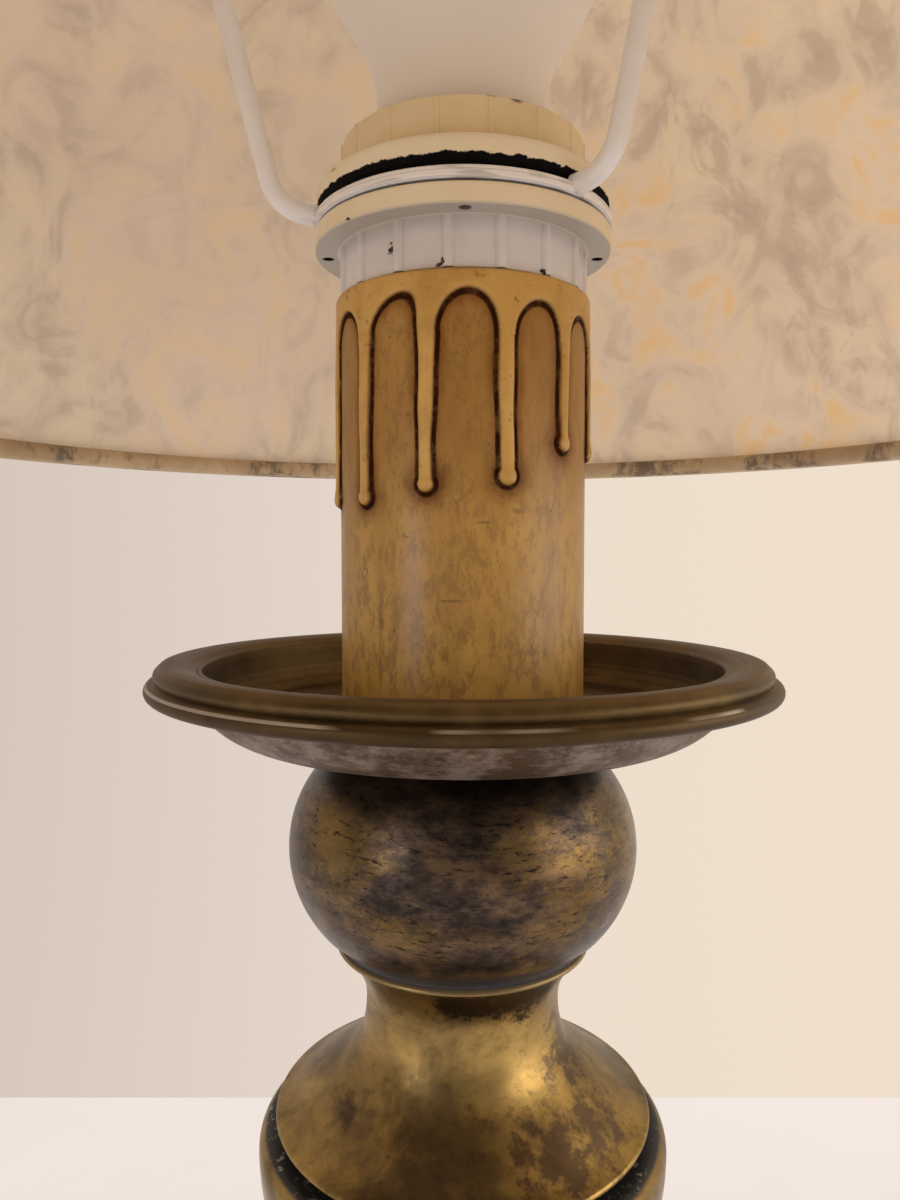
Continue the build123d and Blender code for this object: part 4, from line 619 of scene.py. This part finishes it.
line = wax.both(wax.between(edge, -0.50, 0.04, 0.26),
                wax.range(wax.noise(260, detail=5, rough=0.75), 0.32, 0.50, 0.55, 1.0))
colour = wax.over(colour, "2B1003", line, 0.97)
print("nodes with the stain:", len(wax.tree.nodes))

# %% [markdown]
# Stain has no gloss. If the shader kept its shine there, the window would turn the dark line grey,
# so the shine fades out along the stain.

# %% Candle: shader
FOOT_DARKER_FROM, FOOT_DARKER_FULL = 0.263, 0.2525
# Darker towards the foot, down inside the pan.
colour = wax.over(colour, "7D5320", wax.range(level, FOOT_DARKER_FROM, FOOT_DARKER_FULL), 0.30)
relief = wax.math("SUBTRACT", wax.noise(260, detail=5, stretch=(1, 1, 0.5)), wax.part(pores, 0.8))
wax.show(colour=colour, rough=wax.math("ADD", wax.swing(blotch, 0.34, 0.46), wax.part(line, 0.3)),
         gloss=wax.range(wax.either(line, wide, halo), 0, 1, 0.5, 0.05),
         normal=wax.bump(relief, strength=0.16))
wax.on(candle, "candle_sleeve")

# %% [markdown]
# ## White and cream paint
# The rings and the wire carrier are painted, and paint chips where tools and wire rub it. The
# paint has yellowed most on the upper ring's hub. The underside of the lower flange and the hub's
# top under it are painted grey as painted shade, the insides of the spanner holes are painted dark
# as painted shade, and a thin black line over the lower flange is a painted shade in the gap. The
# upper ring's lower edge was never covered: there its black moulding shows, dull, under a ragged
# edge of paint.

# %% Upper ring
BARE_TOP, UPPER_HUB_FROM, HUB_FADE = 0.33915, 0.3424, 0.0006
BRUSH_WANDER, PAINT_EDGE = 0.00038, 0.00006
cream = Finish("ring_cream")
up = cream.axis("Z")
coat = cream.tones(cream.noise(60, detail=4), "EFE3C8", "E8D9B6", high=0.75)
yellowed = cream.tones(cream.noise(90, detail=4), "EAD7B2", "DEC89C")
coat = cream.over(coat, yellowed, cream.range(up, UPPER_HUB_FROM, UPPER_HUB_FROM + HUB_FADE))
wander = cream.swing(cream.noise(420, detail=4, rough=0.75), -BRUSH_WANDER, BRUSH_WANDER)
bare = cream.range(cream.math("ADD", up, wander), BARE_TOP + PAINT_EDGE, BARE_TOP - PAINT_EDGE)
nicks = cream.either(cream.spot((8.0, -19.2, 349.5), 0.7, stretch=(0.5, 0.5, 1)),
                     cream.spot((4.0, -20.4, 349.5), 0.45, stretch=(0.5, 0.5, 1)),
                     cream.spot((-20.2, -14.0, 341.0), 0.5, stretch=(0.4, 0.4, 1.4)),
                     cream.range(cream.noise(300, detail=3, rough=0.6), 0.735, 0.745))
cream.show(colour=cream.over(coat, "070606", cream.either(bare, nicks)),
           rough=cream.range(bare, 0, 1, 0.42, 0.75),
           gloss=cream.range(bare, 0, 1, 0.5, 0.1),
           normal=cream.bump(cream.math("SUBTRACT", cream.noise(150, detail=3), bare), strength=0.10))
cream.on("upper_ring")

# %% Lower ring: paint and painted shade
FLANGE_UNDER, FLANGE_FADE = 0.33165, 0.0001
HUB_EDGE, HUB_R = 0.0219, 0.0214
SHADE_UNDER_FROM, SHADE_UNDER_FULL, HUB_SHADE_FROM = 0.33200, 0.33130, 0.3290
pale = Finish("ring_white", rough=0.38)
rise, out = pale.axis("Z"), pale.radius()
bluish = pale.tones(pale.noise(70, detail=4), "E0DEE0", "D0CBC8")
flange = pale.tones(pale.noise(50, detail=3), "EEE0C4", "E6D5B2")
# Painted shade under the flange: grey for its underside, and greyer for the hub's top below it.
painted_shade_under = pale.tones(pale.noise(80, detail=5), "827C76", "706A64")
coat = pale.over(bluish, flange, pale.range(rise, FLANGE_UNDER - FLANGE_FADE, FLANGE_UNDER))
shaded_under_flange = pale.both(pale.range(out, HUB_EDGE - 0.0002, HUB_EDGE),
                         pale.range(rise, SHADE_UNDER_FROM, SHADE_UNDER_FULL))
coat = pale.over(coat, painted_shade_under, shaded_under_flange)
hub_top_shade = pale.both(pale.range(rise, HUB_SHADE_FROM, SHADE_UNDER_FULL), pale.range(out, HUB_EDGE, HUB_R))
coat = pale.over(coat, "8E8478", hub_top_shade, 0.35)
print("nodes for the paint:", len(pale.tree.nodes))

# %% Lower ring: chips, painted shade in the gap and the spanner holes, and shader
HOLE_INNER_R, HOLE_OUTER_R, HOLE_LOW, HOLE_HIGH, HOLE_SOFT = 0.02255, 0.02465, 0.33175, 0.3341, 0.0001
HOLE_FRONT_Y, HOLE_BACK_Y = -0.022, -0.018
GAP_SHADE_FROM, GAP_SHADE_FULL = 0.33478, 0.33492
CHIPS = (((-11.5, -17.5, 327.6), 0.5, (1, 1, 0.6), 0.5),  # place, size, stretch, how ragged
         ((-3.6, -20.8, 324.4), 0.6, (1, 1, 0.8), 0.6),
         ((12.5, -17.2, 324.4), 0.5, (1, 1, 0.7), 0.6),
         ((-18.2, -18.1, 331.9), 0.4, (0.6, 0.6, 1.4), 0.4))
chip_grain = pale.noise(900, detail=3, rough=0.7)
chips = pale.range(pale.noise(280, detail=3, rough=0.6), 0.735, 0.745)
for place, size, stretch, ragged in CHIPS:
    chip = pale.spot(place, size, stretch=stretch, ragged=ragged, grain=chip_grain, core=0.8)
    chips = pale.either(chips, chip)
# Painted shade in the gap: a thin black line along the top of the lower flange.
gap_shade_line = pale.range(rise, GAP_SHADE_FROM, GAP_SHADE_FULL)
coat = pale.over(coat, "14110E", pale.either(chips, gap_shade_line))
# Painted shade in the spanner holes: pale grey at the front, near black at the back.
hole = pale.both(pale.between(out, HOLE_INNER_R, HOLE_OUTER_R, HOLE_SOFT),
                 pale.between(rise, HOLE_LOW, HOLE_HIGH, HOLE_SOFT))
painted_hole_shade = pale.over("6E655C", "100E0C", pale.range(pale.axis("Y"), HOLE_FRONT_Y, HOLE_BACK_Y))
pale.show(colour=pale.over(coat, painted_hole_shade, hole),
          normal=pale.bump(pale.math("SUBTRACT", pale.noise(150, detail=3), chips), strength=0.10))
pale.on("lower_ring")

# %% Wire carrier
RING_LOW, RING_HIGH, RING_SOFT = 0.3352, 0.3373, 0.0001
RING_R, RING_R_SOFT = 0.0260, 0.0004
THIN_LINES, THIN_SOFT = ((0.33642, 0.33650), (0.33545, 0.33552)), 0.00005
wire_paint = Finish("wire_white", rough=0.30)
wire_z = wire_paint.axis("Z")
enamel = wire_paint.tones(wire_paint.noise(60, detail=3), "F3F1F1", "E8E4E1")
on_ring = wire_paint.both(wire_paint.between(wire_z, RING_LOW, RING_HIGH, RING_SOFT),
                          wire_paint.range(wire_paint.radius(), RING_R + RING_R_SOFT, RING_R))
lines = wire_paint.range(wire_paint.noise(900, detail=2, stretch=(0.15, 0.15, 1.6)), 0.56, 0.66)
for low, high in THIN_LINES:
    lines = wire_paint.either(lines, wire_paint.between(wire_z, low, high, THIN_SOFT))
rubs = wire_paint.range(wire_paint.noise(260, detail=3, rough=0.6), 0.70, 0.73)
enamel = wire_paint.over(enamel, "9A8F86", wire_paint.both(on_ring, lines), 0.45)
wire_paint.show(colour=wire_paint.over(enamel, "6E675F", rubs, 0.6),
                normal=wire_paint.bump(wire_paint.noise(200, detail=2), strength=0.05))
wire_paint.on("shade_ring", "shade_arms", "shade_top_hoop", "shade_bottom_hoop")

# %% [markdown]
# ## The marbled shade
# Parchment paper on a clear backing. Light goes through it, so its shader is half an ordinary
# surface and half a translucent one. Its pattern is a cloudy marbling of three distorted noises: a
# broad swirl, feathered flakes and finer strokes, in near-white, greyish and warm cream. It grows
# bolder towards +X. The hems are tan paper with dark worn patches.

# %% Shade
BOLDER_FROM_X, BOLDER_FULL_X = -0.03, 0.05
paper = Finish("shade_paper", rough=0.6)
swirl = paper.noise(15, detail=5, rough=0.55, distortion=1.2)
feather = paper.noise(46, detail=4, rough=0.55, distortion=2.4)
stroke = paper.noise(95, detail=3, rough=0.6, stretch=(1, 1, 0.6), distortion=1.6)
bolder = paper.range(paper.axis("X"), BOLDER_FROM_X, BOLDER_FULL_X, 0.35, 1.0)
marble = paper.ramp(feather, (0.36, "E5DACD"), (0.47, "F2E8DA"), (0.55, "F5ECDE"), (0.63, "F8EEDC"))
marble = paper.over(marble, "FAF0E4", paper.range(swirl, 0.48, 0.62), 0.55)
greyish = paper.both(paper.range(stroke, 0.52, 0.62), paper.range(swirl, 0.55, 0.42), bolder)
marble = paper.over(marble, "D9CCBF", greyish, 0.55)
warm = paper.both(paper.range(feather, 0.52, 0.62), paper.range(swirl, 0.47, 0.57), bolder)
marble = paper.over(marble, "FAE3BC", warm, 0.80)
paper.show(colour=marble, normal=paper.bump(feather, strength=0.05))
glow = paper.add("ShaderNodeBsdfTranslucent", Color=marble)
paper.end_in("Material Output", 0.5, paper.shader, glow)
paper.on("shade_panel")

# %% Hems
hem = Finish("shade_trim", rough=0.6)
rub = hem.range(hem.noise(70, detail=6, rough=0.75, stretch=(1, 1, 0.5)), 0.51, 0.60)
tan = hem.tones(hem.noise(70, detail=4), "A78C68", "C2A985")
hem.show(colour=hem.over(tan, "4A4038", rub, 0.75),
         normal=hem.bump(hem.noise(300, detail=3), strength=0.2))
hem.on("shade_bottom_trim", "shade_top_trim")

# %% [markdown]
# ## The bulb
# A lamp with a matt white plastic housing and an opal dome, switched off. The opal lets a little
# light into itself, which softens its edge.

# %% Bulb
white = Finish("bulb_white", rough=0.45)
white.show(colour=white.tones(white.noise(30, detail=3), "EDE8E1", "F2EEE8"),
           normal=white.bump(white.noise(900, detail=2), strength=0.04))
white.on("bulb_housing")
opal = Finish("globe_opal", rough=0.35)
opal.show(colour=opal.tones(opal.noise(30, detail=2), "F0EDE8", "F5F3EF"))
opal.shader.inputs["Subsurface Weight"].default_value = 0.3
opal.shader.inputs["Subsurface Radius"].default_value = (0.004, 0.004, 0.004)
opal.on("bulb_globe")

# %% [markdown]
# ## Hardware inside
# Nothing here shows until the lamp is taken apart, and each piece still has the finish of its
# kind: zinc-plated steel, brass contacts, black moulded resin, glazed ceramic, iron and felt.


# %% Small finishes
def plain(name, first, second, rough, metal=0.0, scale=120.0, relief=0.1):
    """A finish of two near colours with a fine grain; its roughness wavers by 15 percent."""
    made = Finish(name, metal=metal)
    grain = made.noise(scale, detail=5, rough=0.6)
    made.show(colour=made.tones(grain, first, second, low=0.35, high=0.65),
              rough=made.swing(grain, rough * 0.85, rough * 1.15),
              normal=made.bump(made.noise(scale * 4, detail=3), strength=relief))
    return made


plain("felt_green", "1F3B2A", "2E5540", 0.95, scale=500, relief=0.6).on("felt_pad")
plain("cover_steel", "6C6C6A", "8B8A86", 0.5, metal=0.9).on("base_cover")
plain("weight_iron", "3A3734", "55504A", 0.75, metal=0.4, scale=90, relief=0.4).on("base_weight")
plain("zinc_hardware", "9A9A96", "BDBDB8", 0.35, metal=1.0).on(
    "threaded_tube", "base_washer", "base_nut", "pan_washer", "pan_nut", "terminal_screws", "grub_screw")
plain("bushing_plastic", "1B1A18", "2A2826", 0.5).on("cord_bushing")
plain("cup_tin", "8F8A80", "ACA69A", 0.4, metal=0.9).on("sleeve_cup")
plain("holder_bakelite", "201712", "30231B", 0.32).on("holder_shell", "holder_cap")
plain("ceramic", "DAD6CC", "E9E6DE", 0.3).on("terminal_block")
plain("contact_brass", "9C7C3C", "B8954E", 0.3, metal=1.0).on(
    "centre_contact", "side_contact", "bulb_contact")
plain("bulb_cap_metal", "A8A8A4", "C6C6C2", 0.28, metal=1.0).on("bulb_cap", "screw_shell")
plain("bulb_black", "1A1A1C", "2A2A2C", 0.4).on("bulb_insulator")
plain("board_white", "D5D8D2", "E6E8E4", 0.5).on("led_board")

# %% [markdown]
# ## Room and light
# A pale table top that ends a little behind the lamp, and a cream room beyond it, greyer at the
# left and warmer at the right. Polished brass shows the whole room, so the room is painted by
# direction: behind the camera it is darker, less so towards the ceiling, and brass that faces the
# camera turns brown. Only reflections show it that dark; a view from behind the lamp sees it much
# paler. The light is the room's own soft light, a broad window at the right and a narrow, weaker
# one at the left. The narrow one draws the slim glint on the bell and the pale streak down the
# candle.

# %% Table
HALF_WIDTH, HALF_DEPTH, BACK_EDGE = 3.0, 1.5, 0.287
BELOW_FELT = 0.0002
bench = bmesh.new()
bmesh.ops.create_grid(bench, x_segments=1, y_segments=1, size=1.0)
bmesh.ops.scale(bench, vec=(HALF_WIDTH, HALF_DEPTH, 1.0), verts=bench.verts)
bmesh.ops.translate(bench, vec=(0.0, BACK_EDGE - HALF_DEPTH, -BELOW_FELT), verts=bench.verts)
bench_mesh = bpy.data.meshes.new("table_top")
bench.to_mesh(bench_mesh)
bench.free()
table_top = bpy.data.objects.new("table_top", bench_mesh)
bpy.context.scene.collection.objects.link(table_top)
paint = Finish("table_paint", rough=0.6)
paint.show(colour=paint.tones(paint.noise(8, detail=2), "F1EEF0", "F5F2F3"))
paint.on(table_top)

# %% Room
# These are parts of a direction one unit long, so 0.5 to the right is 30 degrees from straight on.
LEFT_END, RIGHT_END = -0.5, 0.5
CEILING_FROM, CEILING_FULL = 0.20, 0.70
BEHIND_FROM, BEHIND_FULL = 0.20, -0.55
world = bpy.data.worlds.new("room")
world.use_nodes = True
bpy.context.scene.world = world
room = Wiring(world.node_tree, "Generated")
ambient = room.tree.nodes["Background"]
room.wire(ambient.inputs["Color"], "FFF6EE")
room.wire(ambient.inputs["Strength"], 0.85)
plaster = room.ramp(room.range(room.axis("X"), LEFT_END, RIGHT_END),
                    (0.0, "D4C5BA"), (0.35, "E2D4C8"), (0.62, "EDDDCC"), (1.0, "F0E0CC"))
far_side = room.tones(room.noise(1.6, detail=2, stretch=(1, 1, 0.6)), "6C645C", "A09890", low=0.35, high=0.65)
far_side = room.over(far_side, "CFC4B8", room.range(room.axis("Z"), CEILING_FROM, CEILING_FULL), 0.6)
rays = room.add("ShaderNodeLightPath").outputs
behind = room.both(room.range(room.axis("Y"), BEHIND_FROM, BEHIND_FULL),
                   room.range(rays["Is Camera Ray"], 0, 1, 1.0, 0.3))
wall = room.add("ShaderNodeBackground", Color=room.over(plaster, far_side, behind), Strength=1.0)
seen = room.either(rays["Is Camera Ray"], rays["Is Glossy Ray"], rays["Is Transmission Ray"])
room.end_in("World Output", seen, ambient, wall)
print("room light", round(ambient.inputs["Strength"].default_value, 2))

# %% Window lights
AIM = Vector((0, 0, 0.25))


def window_light(name, place, size, watts, colour):
    """A soft rectangular light that faces the candle."""
    data = bpy.data.lights.new(name, "AREA")
    data.shape = "RECTANGLE"
    data.size, data.size_y = size
    data.energy = watts
    data.color = rgb(colour)[:3]
    light = bpy.data.objects.new(name, data)
    light.location = place
    light.rotation_euler = (AIM - Vector(place)).to_track_quat("-Z", "Y").to_euler()
    bpy.context.scene.collection.objects.link(light)
    print(name, watts, "W")


window_light("window_right", (1.9, -0.45, 0.60), size=(1.8, 1.8), watts=26.0, colour="FFF5E9")
window_light("window_left", (-1.25, -1.20, 0.62), size=(0.16, 1.20), watts=6.5, colour="FFFAF6")
